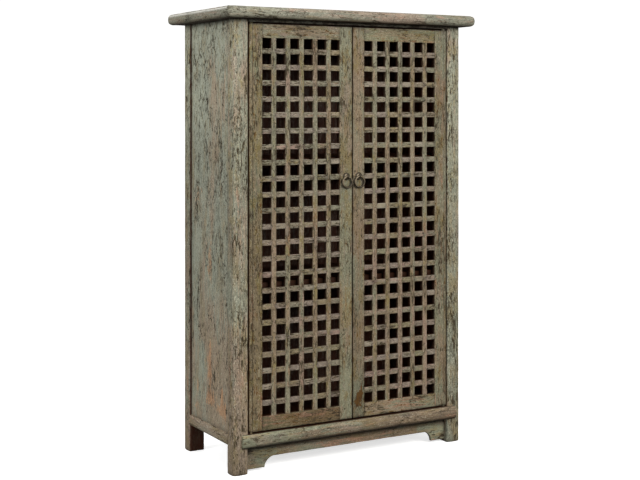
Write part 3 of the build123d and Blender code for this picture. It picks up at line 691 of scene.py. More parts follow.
def post_sage(p):
    t = p[:, 2] / Z_CAP
    front = p[:, 1] < -238
    right = p[:, 0] > 0
    lf = 0.40 + 0.43 * ramp(t, 0.26, 0.46) - 0.08 * ramp(t, 0.7, 0.9)
    rf = 0.47 + 0.31 * ramp(t, 0.36, 0.7)
    s = np.where(front, np.where(right, rf, lf), 0.46 + 0.28 * ramp(t, 0.3, 0.6) + 0.08 * ramp(t, 0.65, 0.8))
    s = s + 0.3 * front * right * spot(p, (520, YF, 200), (60, 60, 110))
    s = s - 0.3 * spot(p, (-478, YF, 1560), (13, 40, 100)) * front + 0.35 * spot(p, (-528, YF, 640), (14, 40, 60))
    side = (~front) * (p[:, 0] < 0) * (p[:, 1] < 0)
    s = s + side * (0.2 * ramp(t, 0.72, 0.84) + 0.18 * ramp(t, 0.33, 0.42) * ramp(-t, -0.66, -0.56) - 0.3 * ramp(-p[:, 2], -150, -80))
    return s + 0.3 * spot(p, (-500, YF, 1660), (40, 40, 60)) * front


def post_rust(p):
    t = p[:, 2] / Z_CAP
    front = p[:, 1] < -238
    r = 0.10 + 0.10 * ramp(-t, -0.4, -0.2) + 0.12 * (p[:, 1] > 150) * ramp(-t, -0.5, -0.15)
    return r + 0.15 * spot(p, (-478, YF, 1560), (13, 40, 100)) * front + 0.5 * spot(p, (-530, 200, 500), (60, 60, 60))


def post_tone(p):
    """Darker or paler by region."""
    t = p[:, 2] / Z_CAP
    left = p[:, 0] < 0
    front = p[:, 1] < -238
    base = 0.5 - 0.9 * left * front * ramp(t, 0.28, 0.45) * ramp(-t, -0.8, -0.65) - 1.05 * (~left) * ramp(-t, -0.75, -0.5)
    base = base + np.where(front, -0.35 * left, 1.05) * ramp(t, 0.68, 0.82) - 0.2 * front * ramp(-t, -0.35, -0.2)
    edge = np.exp(-((np.abs(p[:, 0]) - 474) / 7.0) ** 2) * (p[:, 1] < -238)
    base = base + 0.9 * edge * left * ramp(-t, -0.5, -0.3)
    base = base + left * (~front) * (0.55 * ramp(t, 0.76, 0.86) - 0.85 * ramp(t, 0.33, 0.42) * ramp(-t, -0.66, -0.56))
    return base - 0.65 * left * front * ramp(-p[:, 2], -130, -80) + 0.3 * (~left) * front * ramp(-p[:, 2], -130, -80)


posts = {("left", "front"): "post_front_left", ("right", "front"): "post_front_right",
         ("left", "back"): "post_back_left", ("right", "back"): "post_back_right"}
for k, ((sx, sy), node) in enumerate(posts.items()):
    sec = section([(0, 0, 3), (63.5, 0, 7.5), (63.5, 59.5, 8), (0, 59.5, 7.5)], step=6.0, arc=5, bulge={1: 2.4, 2: 2.4})
    t = Timber()
    ax = ("-x" if sx == "left" else "x", "-y" if sy == "front" else "y", "z")
    org = (-XI if sx == "left" else XI, YF + 62 if sy == "front" else YB - 62, 0)
    # darker just under the cap as painted shadow, and near the floor; the inward faces are bare wood, darkened as
    # painted shade
    t.sweep(sec, 0, Z_CAP + 0.3, ax, org, step=8, ease=(4.0, 1.0), seed=20 + k, tone=post_tone, arris=0.7,
            grime=box_grime((0, 16, 0.6), (0, 95, 0.27 if sx == "left" else 0.06), (Z_CAP, 14, 0.9)), dark=post_inner_bare_and_shade(sx, sy))
    t.build("wood_" + node, MAT["carcass"], "carcass", [node], rust=post_rust, sage=post_sage,
            calm=lambda p: 0.3 * ramp(-p[:, 2], -160, -90))

# ---------------------------------------------------------------------------
# cap: four mitred members and a panel
# ---------------------------------------------------------------------------
def cap_tone(p):
    """The front member is paler at its left end; the upper edge of every member is painted darker, as painted shade
    where the top turns away from the light.
    """
    front = p[:, 1] < -D + 60
    t = 0.5 + front * (0.15 * ramp(-p[:, 0], 430, 520) - 0.45 * ramp(p[:, 0], -330, 0) - 0.75 * ramp(p[:, 0], 300, 440))
    return t - 0.7 * front * ramp(p[:, 2], 1793, 1797) - 0.9 * (~front) * ramp(p[:, 2], 1793.5, 1795.5)


def cap_grime(p):
    """Dirt and painted shade along the lower edge, and dirt in the mitres."""
    low = 0.65 * np.exp(-(p[:, 2] - Z_CAP).clip(0) / 6.0)
    return np.maximum(low, 0.6 * np.exp(-np.abs((W - np.abs(p[:, 0])) - (D - np.abs(p[:, 1]))) / 1.8))


def cap_bar(name, node, length, depth, axes, seed):
    """u runs outwards, v up, w along the member."""
    t = Timber()
    out = np.array({"y": (0, D - MEMBER, 0), "-y": (0, -(D - MEMBER), 0), "x": (W - MEMBER, 0, 0), "-x": (-(W - MEMBER), 0, 0)}[axes[0]], float)
    sec = section([(0, 0, 1.0), (MEMBER, 0, 16.8), (MEMBER, 46, 16.8), (0, 46, 0.8)], step=7, arc=7, bulge={1: 0.8})
    # the underside is bare wood, darkened as painted shade under the overhang, except near its outer edges
    t.sweep(sec, lambda u, v: -(length - MEMBER + u) + 0.15, lambda u, v: (length - MEMBER + u) - 0.15, axes,
            origin=(0, 0, Z_CAP), step=8, ease=(1.5, 1.5), seed=seed, arris=0.8, tone=lambda p: cap_tone(p + out), grime=lambda p: cap_grime(p + out),
            dark=lambda p: 0.9 * (p[:, 2] < Z_CAP + 1.5) * ramp(np.minimum(W - np.abs(p[:, 0]), D - np.abs(p[:, 1])), 18, 26))
    # move the member out to its place
    t.v = [a + out for a in t.v]
    # the pale attribute draws a painted highlight along the top arris of the side members
    t.build(name, MAT["cap"], "carcass", [node], sage=lambda p: 0.54 + (0.42 * ramp(-p[:, 0], 330, 460) - 0.2 * ramp(p[:, 0], -330, -200) + 0.37 * ramp(p[:, 0], 250, 420)) * (p[:, 1] < -D + 60) - 0.1 * (p[:, 0] < -W + 60),
            calm=lambda p: 0.25 * ramp(p[:, 0], -330, -200) * (p[:, 1] < -D + 60),
            rust=lambda p: 0.2 + 0.05 * ramp(p[:, 0], -330, -200) * ramp(-p[:, 0], -400, -250) - 0.14 * ramp(p[:, 0], 280, 420) * (p[:, 1] < -D + 60) - 0.2 * ramp(-p[:, 0], 360, 450) + 0.55 * spot(p, (-280, -288, 1780), (80, 60, 60)),
            extra={"pale": lambda p: ramp(p[:, 2], 1785.5, 1788.5) * ramp(-p[:, 2], -1795.5, -1793.0) * (0.95 * (np.abs(p[:, 0]) > W - 14) * (np.abs(p[:, 1]) < D - 12)).clip(0, 0.95)})


cap_bar("wood_cap_rail_front", "cap_rail_front", W, D, ("-y", "z", "x"), 31)
cap_bar("wood_cap_rail_back", "cap_rail_back", W, D, ("y", "z", "x"), 32)
cap_bar("wood_cap_rail_left", "cap_rail_left", D, W, ("-x", "z", "y"), 33)
cap_bar("wood_cap_rail_right", "cap_rail_right", D, W, ("x", "z", "y"), 34)

t = Timber()
edges = [-177.3, -62.0, 55.0, 177.3]
for i in range(3):
    sec = rect(edges[i] + 0.2, edges[i + 1] - 0.2, 0, 16, r=(0.6, 0.6, 1.3, 1.3), step=9)
    t.sweep(sec, -466.2, 466.2, ("y", "z", "x"), origin=(0, 0, 1784), step=12, ease=(0.8, 0.8), seed=41 + i, amp=0.8, tone=rnd(i, 8))
for c in edges[1:-1]:
    t.sweep(rect(c - 6, c + 6, 6, 11, r=0.4, step=12), -465, 465, ("y", "z", "x"), origin=(0, 0, 1784), step=20, seed=48, ease=(0.5, 0.5), amp=0.2, tone=0.3)
t.build("wood_cap_panel", MAT["cap"], "carcass", ["cap_panel"], extra={"pale": lambda p: 0 * p[:, 0]})

t = Timber()
for i, x in enumerate((-190, 190)):
    sec = rect(x - 22, x + 22, 1762, 1783.5, r=1.5, step=8)
    t.sweep(sec, -178, 178, ("-x", "z", "y"), step=14, seed=45 + i, tone=0.5, origin=(0, 0, 0))
t.build("wood_cap_battens", MAT["inside"], "carcass", ["cap_battens"])

# ---------------------------------------------------------------------------
# rails
# ---------------------------------------------------------------------------
t = Timber()
# painted shade under the cap darkens the whole front top rail, most at its lower edge over the doors; the faces behind
# are bare and shaded
t.sweep(rect(YF + 2, YF + 40, 1742, Z_CAP + 0.2, r=(2.5, 1, 1, 1.5), step=6), -XI - 1, XI + 1, ("y", "z", "x"), step=9, seed=51,
        ease=(0.5, 0.5), tone=0.4, grime=lambda p: 0.72 + 0.28 * np.exp(-((p[:, 2] - 1742) / 4.0) ** 2), dark=lambda p: 1.0 * (p[:, 1] > YF + 5))
t.sweep(rect(YF + 28.3, YF + 52, 1712, Z_CAP, r=1.5, step=8), -XI - 1, XI + 1, ("y", "z", "x"), step=14, seed=52, ease=(0.5, 0.5), tone=0.4,
        dark=lambda p: 1.0 + 0 * p[:, 0])
t.build("wood_top_rail_front", MAT["carcass"], "carcass", ["top_rail_front"])

t = Timber()
t.sweep(rect(188, 224, 1700, Z_CAP, r=2, step=7), -XI - 1, XI + 1, ("y", "z", "x"), step=12, seed=53, ease=(0.5, 0.5), tone=0.45, dark=lambda p: 1.0 * (p[:, 1] < 221))
t.build("wood_top_rail_back", MAT["carcass"], "carcass", ["top_rail_back"])
for s, side in ((-1, "left"), (1, "right")):
    t = Timber()
    ax = ("-x" if s < 0 else "x", "z", "y")
    t.sweep(rect(484, 509.8, 1720, Z_CAP, r=2.2, step=6), -184, 169, ax, step=14, seed=54 + s, ease=(0.5, 0.5), tone=0.5)
    t.build("wood_top_rail_" + side, MAT["inside"], "carcass", ["top_rail_" + side])

t = Timber()
# paler along the top as painted light, darker on the lower part as painted shade with dirt, darker at the posts, and
# black on the top behind the doors as painted shade in the gap
t.sweep(section([(-260, 100, 17), (-201, 100, 2), (-201, 154, 2), (-260, 154, 18)], step=5, arc=8, bulge={3: 0.8}), -496, 504, ("y", "z", "x"),
        step=8, seed=61, ease=(3.0, 3.0), tone=lambda p: 0.58 + 0.7 * ramp(p[:, 2], 140, 152) * ramp(-p[:, 0], -100, 300) + 1.35 * ramp(-p[:, 0], 380, 450) - 0.2 * ramp(p[:, 0], -380, -340), arris=0.45,
        grime=lambda p: np.maximum(0.85 * ramp(-p[:, 2], -120, -101) + 0.2 * np.exp(-np.abs(np.abs(p[:, 0]) - 466) / 5), 0.97 * ramp(p[:, 1], -248.5, -245.5) * (p[:, 2] > 150)),
        dark=lambda p: np.maximum((p[:, 1] > -243) * 0.95, 0.9 * (p[:, 2] < 101.5)))
t.build("wood_bottom_rail_front", MAT["rail"], "carcass", ["bottom_rail_front"],
        sage=lambda p: 0.3 + 0.5 * ramp(p[:, 2], 134, 150) * ramp(-p[:, 0], -250, 300) + 0.2 * ramp(-p[:, 0], 200, 420), rust=lambda p: 0.2 + 0.25 * ramp(-p[:, 2], -140, -120) + 0.15 * ramp(p[:, 0], 250, 450),
        calm=lambda p: 0.3 - 0.7 * spot(p, (-442, -260, 136), (22, 60, 12)) - 0.6 * spot(p, (-120, -260, 134), (30, 60, 10)))

t = Timber()
t.sweep(rect(188, 224, 106, 154, r=2, step=7), -XI - 1, XI + 1, ("y", "z", "x"), step=12, seed=63, ease=(0.5, 0.5), tone=0.45, dark=lambda p: 1.0 * (p[:, 1] < 221))
t.build("wood_bottom_rail_back", MAT["carcass"], "carcass", ["bottom_rail_back"])
for s, side in ((-1, "left"), (1, "right")):
    t = Timber()
    ax = ("-x" if s < 0 else "x", "z", "y")
    # darker on the lower part and where the top meets the panel: painted shade with dirt; the inner faces and underside
    # are bare and shaded
    t.sweep(section([(486, 106, 2), (532.5, 106, 15), (532.5, 154, 15.5), (486, 154, 2)], step=6, arc=7, bulge={1: 0.6}), -190, 175, ax, step=8,
            seed=64 + s, ease=(1, 1), tone=0.55, arris=0.4,
            grime=lambda p: 0.6 * ramp(-p[:, 2], -120, -107) + 0.5 * ramp(-np.abs(p[:, 0]), -525, -521) * (p[:, 2] > 140),
            dark=lambda p: np.maximum(0.9 * (np.abs(p[:, 0]) < 500), 0.9 * (p[:, 2] < 107.5)))
    t.build("wood_bottom_rail_" + side, MAT["carcass"], "carcass", ["bottom_rail_" + side],
            sage=lambda p: 0.15 + 0 * p[:, 0], rust=lambda p: 0.4 + 0 * p[:, 0])

for name, z in SHELVES.items():
    t = Timber()
    t.sweep(rect(188, 224, z - 44, z, r=2, step=7), -XI - 1, XI + 1, ("y", "z", "x"), step=12, seed=67 + len(name), ease=(0.5, 0.5), tone=0.45, dark=lambda p: 1.0 * (p[:, 1] < 221))
    t.build("wood_back_rail_" + name, MAT["carcass"], "carcass", ["back_rail_" + name])

# ---------------------------------------------------------------------------
# side panels
# ---------------------------------------------------------------------------
# dirt and painted shade along the posts, under the cap and above the bottom rail
def panel_grime(p):
    e = np.minimum(p[:, 1] + 183, 168 - p[:, 1])
    g = 0.65 * np.exp(-np.clip(e, 0, 99) / 5.0)
    g = np.maximum(g, 0.75 * np.exp(-(Z_CAP - p[:, 2]).clip(0) / 9.0))
    return np.maximum(g, 0.5 * np.exp(-(np.maximum(p[:, 2], 154) - 154) / 7.0))


for s, side in ((-1, "left"), (1, "right")):
    t = Timber()
    ax = ("-x" if s < 0 else "x", "y", "z")
    sec = rect(510, 521.6, -190, 175, r=1.0, step=6.5, bulge={1: 0.9})
    # darker along the posts, under the cap and above the bottom rail (painted shade, with dirt); the inner face is bare
    # wood, darkened as painted shade
    t.sweep(sec, 147, Z_CAP - 0.2, ax, step=9, seed=71 + s, ease=(0.8, 0.8), tone=side_tone, amp=1.6, arris=0.2, grime=panel_grime,
            dark=lambda p: 1.0 * (np.abs(p[:, 0]) < 517))
    # calm lightens the bare inner face of the right-hand panel, as painted light
    t.build("wood_side_panel_" + side, MAT["panel"], "carcass", ["side_panel_" + side], rust=side_rust, sage=side_sage,
            calm=lambda p: np.where(np.abs(p[:, 0]) < 517, 3.0 * (p[:, 0] > 0), 0.3 * ramp(-p[:, 2], -1150, -500) + 0.1 * ramp(p[:, 2], 1250, 1500)))

# back panels: five boards each, butted
for i, (name, z0, z1) in enumerate((("lower", 146, 694), ("middle", 722, 1176), ("upper", 1204, 1708))):
    t = Timber()
    xs = np.linspace(-473, 473, 6)
    for j in range(5):
        a, b = xs[j] + 0.25 + (8 * (rnd(i, j, 2) - 0.5) if j else 0), xs[j + 1] - 0.25 + (8 * (rnd(i, j + 1, 2) - 0.5) if j < 4 else 0)
        sec = rect(a, b, 206, 218, r=1.4, step=12, bulge={2: 0.5})
        # darker near the top and bottom ends by the rails, as dirt and painted shade; the inner faces are bare wood,
        # darkened as painted shade
        t.sweep(sec, z0, z1, ("x", "y", "z"), step=14, seed=80 + 5 * i + j, ease=(0.8, 0.8), tone=0.25 + 0.5 * rnd(i, j, 9), arris=0.5, dark=lambda p: 1.0 * (p[:, 1] < 212),
                grime=lambda p: 0.5 * np.maximum(np.exp(-(p[:, 2] - z0 - 8).clip(0) / 8), np.exp(-(z1 - 8 - p[:, 2]).clip(0) / 8)))
    for j in range(1, 5):
        c = xs[j] + 8 * (rnd(i, j, 2) - 0.5)
        # the tongue behind each joint is dark, as painted shade in the gap between boards
        t.sweep(rect(c - 6, c + 6, 209.5, 214.5, r=0.4, step=12), z0 + 1, z1 - 1, ("x", "y", "z"), step=20, seed=60 + j, ease=(0.5, 0.5), tone=0.3, amp=0.2,
                dark=lambda p: 1.0 + 0 * p[:, 0], grime=lambda p: 0.8 + 0 * p[:, 0])
    # calm lightens the bare inner faces towards the right, as painted light
    t.build("wood_back_panel_" + name, MAT["panel"], "carcass", ["back_panel_" + name],
            calm=lambda p: np.where(p[:, 1] < 212, 0.35 * ramp(p[:, 0], 100, 400), 0.0))

# ---------------------------------------------------------------------------
# shelves and bottom
# ---------------------------------------------------------------------------
def board(t, x0, x1, y0, y1, z0, z1, cuts, seed):
    """A horizontal board glued up from strips along X."""
    ys = [y0] + list(cuts) + [y1]
    for i in range(len(ys) - 1):
        sec = rect(ys[i] + 0.15, ys[i + 1] - 0.15, z0, z1, r=1.0, step=12)
        t.sweep(sec, x0, x1, ("y", "z", "x"), step=16, seed=seed + i, ease=(0.8, 0.8), tone=rnd(seed, i), arris=0.4, amp=0.8)
    for c in cuts:
        t.sweep(rect(c - 6, c + 6, z0 + 5.5, z1 - 5.5, r=0.4, step=12), x0 + 1, x1 - 1, ("y", "z", "x"), step=20, seed=seed + 9, ease=(0.4, 0.4), amp=0.2, tone=0.2)


for name, z in SHELVES.items():
    t = Timber()
    board(t, -465.5, 465.5, -197, 198, z - 16, z, (-60, 75), 101 + int(z) % 7)
    for s in (-1, 1):
        board(t, min(s * 465.7, s * 509), max(s * 465.7, s * 509), -182, 167, z - 16, z, (-60, 75), 101 + int(z) % 7)
    t.build("wood_shelf_" + name, MAT["inside"], "carcass", ["shelf_" + name])
    t = Timber()
    sec = rect(-213, -197.2, z - 36, z, r=2, step=6)
    t.sweep(sec, -466.5, 466.5, ("y", "z", "x"), step=14, seed=111 + int(z) % 5, ease=(0.5, 0.5), tone=0.5)
    t.sweep(rect(-197.2, -187, z - 36, z - 16.2, r=1, step=6), -466.5, 466.5, ("y", "z", "x"), step=18, seed=113, ease=(0.5, 0.5), tone=0.5)
    t.build("wood_shelf_rail_" + name, MAT["inside"], "carcass", ["shelf_rail_" + name])
    t = Timber()
    for s in (-1, 1):
        ax = ("-x" if s < 0 else "x", "z", "y")
        t.sweep(rect(486, 509.8, z - 46, z - 16.2, r=1.5, step=8), -181, 166, ax, step=16, seed=115 + s, tone=0.5)
    t.build("wood_shelf_cleats_" + name, MAT["inside"], "carcass", ["shelf_cleats_" + name])

t = Timber()
board(t, -465.5, 465.5, -217.5, 205.5, 154.2, 170, (-85, 60), 121)
for s in (-1, 1):
    board(t, min(s * 465.7, s * 509), max(s * 465.7, s * 509), -182, 167, 154.2, 170, (-85, 60), 121)
t.build("wood_bottom_board", MAT["inside"], "carcass", ["bottom_board"])


# ---------------------------------------------------------------------------
# apron with bracket ends
# ---------------------------------------------------------------------------
def arc3(a, b, c, n):
    """Points on the circle through a, b, c, from a to c."""
    (ax, ay), (bx, by), (cx, cy) = a, b, c
    d = 2 * (ax * (by - cy) + bx * (cy - ay) + cx * (ay - by))
    ux = ((ax ** 2 + ay ** 2) * (by - cy) + (bx ** 2 + by ** 2) * (cy - ay) + (cx ** 2 + cy ** 2) * (ay - by)) / d
    uy = ((ax ** 2 + ay ** 2) * (cx - bx) + (bx ** 2 + by ** 2) * (ax - cx) + (cx ** 2 + cy ** 2) * (bx - ax)) / d
    r = math.hypot(ax - ux, ay - uy)
    t0, t1, t2 = (math.atan2(q[1] - uy, q[0] - ux) for q in (a, b, c))
    while t1 - t0 > math.pi: t1 -= 2 * math.pi
    while t1 - t0 < -math.pi: t1 += 2 * math.pi
    while t2 - t1 > math.pi: t2 -= 2 * math.pi
    while t2 - t1 < -math.pi: t2 += 2 * math.pi
    return [(ux + r * math.cos(t0 + (t2 - t0) * k / n), uy + r * math.sin(t0 + (t2 - t0) * k / n)) for k in range(n + 1)]


def apron():
    wl, wr, vl, vr, za, zb = 384.0, 400.0, 346.0, 367.0, 51.0, 11.0
    mid = [(x, za) for x in np.linspace(-vl + 3.5, vr - 3.5, 110)]
    left = [(x, zb) for x in np.linspace(-470, -wl - 4, 14)] + [(-wl - 1.2, zb)]
    left += arc3((-wl, zb), (-wl + 11.5, zb + 26), (-vl, za), 14)
    right = arc3((vr, za), (wr - 9.5, zb + 26), (wr, zb), 14) + [(wr + 1.2, zb)] + [(x, zb) for x in np.linspace(wr + 4, 470, 12)]
    pts = left + mid + right
    P = np.array(pts, float)
    T = np.gradient(P, axis=0)
    T = T / np.linalg.norm(T, axis=1)[:, None]
    nin = np.stack([-T[:, 1], T[:, 0]], 1)        # upwards, into the board
    K = len(P)
    r = 2.6
    y0, y1 = -220.0, -204.0
    prof = []                                     # (y, inset along nin or None, fraction up)
    ups = np.linspace(0, 1, 12)
    for f in ups[::-1]:
        prof.append((y0, None, f))
    for k in range(1, 4):
        a = math.pi / 2 * k / 4
        prof.append((y0 + r * (1 - math.cos(a)), r * (1 - math.sin(a)), 0))
    for y in np.linspace(y0 + r, y1 - r, 4):
        prof.append((y, 0.0, 0))
    for k in range(3, 0, -1):
        a = math.pi / 2 * k / 4
        prof.append((y1 - r * (1 - math.cos(a)), r * (1 - math.sin(a)), 0))
    for f in ups:
        prof.append((y1, None, f))
    M = len(prof)
    xyz = np.zeros((K, M, 3))
    nrm = np.zeros((K, M, 3))
    we = np.zeros((K, M))

    def inset(a):
        """The outline moved into the board, without crossing itself at the brackets' corners."""
        q = P + nin * a
        step = 0.02 * np.arange(K)
        q[:, 0] = np.maximum.accumulate(q[:, 0] - step) + step
        return q

    for j, (y, ins, f) in enumerate(prof):
        if ins is None:
            lo = inset(r)
            x = lo[:, 0] * (1 - f) + P[:, 0] * f
            z = lo[:, 1] * (1 - f) + 101.0 * f
            nrm[:, j, 1] = -1 if y < -212 else 1
            we[:, j] = np.clip(1 - f * (100 - P[:, 1]) / 10, 0, 1)
        else:
            q = inset(ins)
            x, z = q[:, 0], q[:, 1]
            nrm[:, j, 0], nrm[:, j, 2] = -nin[:, 0], -nin[:, 1]
            we[:, j] = 1
        xyz[:, j, 0], xyz[:, j, 1], xyz[:, j, 2] = x, y, z
    flat = xyz.reshape(-1, 3)
    q = flat[:, [1, 2, 0]] + (311.0, 77.0, 913.0)
    w = we.ravel()
    d = 0.4 * fbm(q / (60, 60, 300), 3, 2) + 0.15 * fbm(q / (15, 15, 80), 5, 2)
    d -= w * (0.25 + 1.1 * np.maximum(0, vnoise(q / (10, 10, 26), 6) - 0.1))
    out = flat + nrm.reshape(-1, 3) * d[:, None]
    i = np.arange(K - 1)[:, None]
    j = np.arange(M)
    j2 = (j + 1) % M
    quads = np.stack([i * M + j, (i + 1) * M + j, (i + 1) * M + j2, i * M + j2], -1).reshape(-1, 4)[:, ::-1]
    tris = []
    for base, flip in ((0, False), ((K - 1) * M, True)):
        for k in range(1, M - 1):
            tri = [base, base + k, base + k + 1]
            tris.append(tri if flip else tri[::-1])
    t = Timber()
    # darker along the top under the rail as painted shadow, at the posts as dirt and painted shade, and in a patch at
    # the left bracket; the back is bare and shaded
    g = ramp(flat[:, 2], 66, 98) * 0.8 + 0.75 * np.exp(-np.abs(flat[:, 0] + 452) / 20) * ramp(flat[:, 2], 50, 90)
    g = np.clip(g + 0.8 * np.exp(-np.abs(np.abs(flat[:, 0]) - 466) / 4.5), 0, 0.95)
    t.put(out, q, w, 0.5 + 1.9 * ramp(flat[:, 0], 366, 396) * ramp(-flat[:, 2], -92, -62), g, quads, np.array(tris), 0.95 * (flat[:, 1] > -206))
    t.build("wood_apron_front", MAT["rail"], "carcass", ["apron_front"],
            sage=lambda p: 0.25 + 0.4 * (np.abs(p[:, 0]) > 330), rust=lambda p: 0.2 + 0 * p[:, 0],
            calm=lambda p: 0.3 - 1.5 * line(p, (461, 40), (438, 17), 5.0) - 0.6 * spot(p, (-440, -220, 82), (26, 60, 14)))


apron()


# ---------------------------------------------------------------------------
# doors
# ---------------------------------------------------------------------------
def cylinder_peg(t, x, y, z0, z1, r, seed):
    a = np.linspace(0, 2 * math.pi, 25)[:-1]
    sec = (np.stack([r * np.cos(a), r * np.sin(a)], 1), np.stack([np.cos(a), np.sin(a)], 1), np.zeros(24))
    t.sweep(sec, z0, z1, ("x", "y", "z"), origin=(x, y, 0), step=2, ease=(0.5, 0.5), amp=0.1, arris=0.2, seed=seed, tone=0.4)


def door_sage(p):
    t = p[:, 2] / Z_CAP
    x, z = p[:, 0], p[:, 2]
    s = 0.50 + 0.11 * ramp(t, 0.45, 0.65) + np.where(x < 0, 0.1, 0.13) * (z > 1690)
    s = s - (0.10 + 0.10 * ramp(-t, -0.4, -0.25) - 0.14 * ramp(t, 0.3, 0.42) * ramp(-t, -0.75, -0.62)) * (x < -406) - 0.10 * (x > 406) * ramp(t, 0.55, 0.75) + 0.04 * (x > 406)
    s = s + 0.3 * spot(p, (-446, YF, 330), (12, 60, 110)) + 0.25 * spot(p, (-436, YF, 190), (30, 60, 26))
    s = s - 0.06 * (np.abs(x - 28) < 28) + 0.06 * spot(p, (-60, YF, 640), (60, 60, 300))
    s = s - 0.3 * (z < 215) * (x < 0) * (x > -400) - 0.08 * (z < 215) * (x > 0) + 0.25 * spot(p, (-100, YF, 1080), (70, 60, 60))
    s = s + 0.18 * (x > 406) * ramp(-z, -800, -500) + 0.1 * (z > 1690) * (x > 57) * (x < 408)
    return s - 0.3 * spot(p, (433, YF, 1120), (16, 60, 45))


def z_low(p):
    """1 on the bottom rails of the doors."""
    return 1.0 * (p[:, 2] < 215) * (np.abs(p[:, 0]) > 57) * (np.abs(p[:, 0]) < 408)


def door_rust(p):
    t = p[:, 2] / Z_CAP
    r = 0.13 + 0.12 * ramp(-t, -0.4, -0.1) + 0.95 * spot(p, (434, YF, 1120), (15, 60, 36))
    r = r + 0.3 * spot(p, (28, YF, 560), (30, 60, 200)) + 0.5 * spot(p, (196, YF, 232), (22, 60, 22))
    return r + 0.3 * z_low(p) * (p[:, 0] > 0) + 0.3 * spot(p, (-170, YF, 196), (90, 60, 20)) + 0.4 * spot(p, (-225, YF, 200), (40, 60, 16)) + 0.4 * spot(p, (-402, YF, 300), (14, 60, 110))


def door_grime(p):
    """Dirt and painted shade along the top and bottom edges of a door and at the meeting line, where the gaps are."""
    d = np.minimum(p[:, 2] - Z_D0, Z_D1 - p[:, 2]).clip(0)
    g = 0.95 * np.exp(-(d / 2.4) ** 2) + 0.22 * np.exp(-d / 9.0)
    return np.maximum(g, 0.6 * np.exp(-((p[:, 0] / 4.5) ** 2)))


def rail_calm(p):
    low = p[:, 2] < 216
    return (low * np.where(p[:, 0] < 0, -0.1, -0.2) - 0.8 * spot(p, (-60, YF, 208), (60, 60, 8))
            - 1.3 * low * (line(p, (277, 200), (362, 209), 4.0) + line(p, (403, 200), (420, 196), 4.0) + line(p, (90, 176), (190, 186), 4.0)))


def lattice_rust(p):
    """More of the mauve coat low down, and most on the right-hand door."""
    low = ramp(-p[:, 2], -1200, -700)
    r = 0.12 + low * np.where(p[:, 0] > 0, 0.34, 0.12)
    for x, z, rx, rz, a in ((229, 330, 14, 150, 0.5), (106, 800, 12, 170, 0.5), (90, 760, 60, 24, 0.45), (75, 880, 50, 16, 0.4), (-260, 420, 70, 26, 0.3)):
        r = r + a * spot(p, (x, YF, z), (rx, 60, rz))
    return r


def door_tone(p):
    """Darker or paler by region."""
    x, z = p[:, 0], p[:, 2]
    t = 0.5 - 0.45 * (x < -406) - 0.7 * (np.abs(x - 28) < 28) * ramp(-z, -1000, -700) - 0.3 * (x > 406)
    t = t - 0.65 * (x < -406) * ramp(z, 560, 760) * ramp(-z, -1320, -1180) - 0.6 * (x > 406) * ramp(z, 1050, 1250) + 0.3 * (np.abs(x + 30) < 26) * ramp(-z, -1000, -700)
    t = t + 0.2 * (np.abs(x + 30) < 26) * ramp(-z, -1000, -700) + 0.35 * (x > 406) * ramp(-z, -800, -500)
    return t - 0.4 * (z < 215) * (x < -3) + 1.05 * (z < 215) * (x > 57) * (x < 408)


OCH = ((36, 257), (30, 236), (20, 212))


def door_ochre(p):
    return (0.85 * spot(p, (OCH[0][0], YF, OCH[0][1]), (19, 60, 11)) + 0.85 * spot(p, (OCH[1][0], YF, OCH[1][1]), (22, 60, 15)) + 0.8 * spot(p, (OCH[2][0], YF, OCH[2][1]), (14, 60, 14))
            + 0.5 * spot(p, (199, YF, 262), (9, 60, 14)) + 0.5 * spot(p, (-296, YF, 1010), (9, 60, 14)))


def seg_tone(xs, seed, row):
    """Each short length between two uprights has its own tint."""
    def f(p):
        k = np.searchsorted(xs, p[:, 0])
        return np.array([rnd(seed, row, int(i)) for i in range(len(xs) + 1)])[k]
    return f


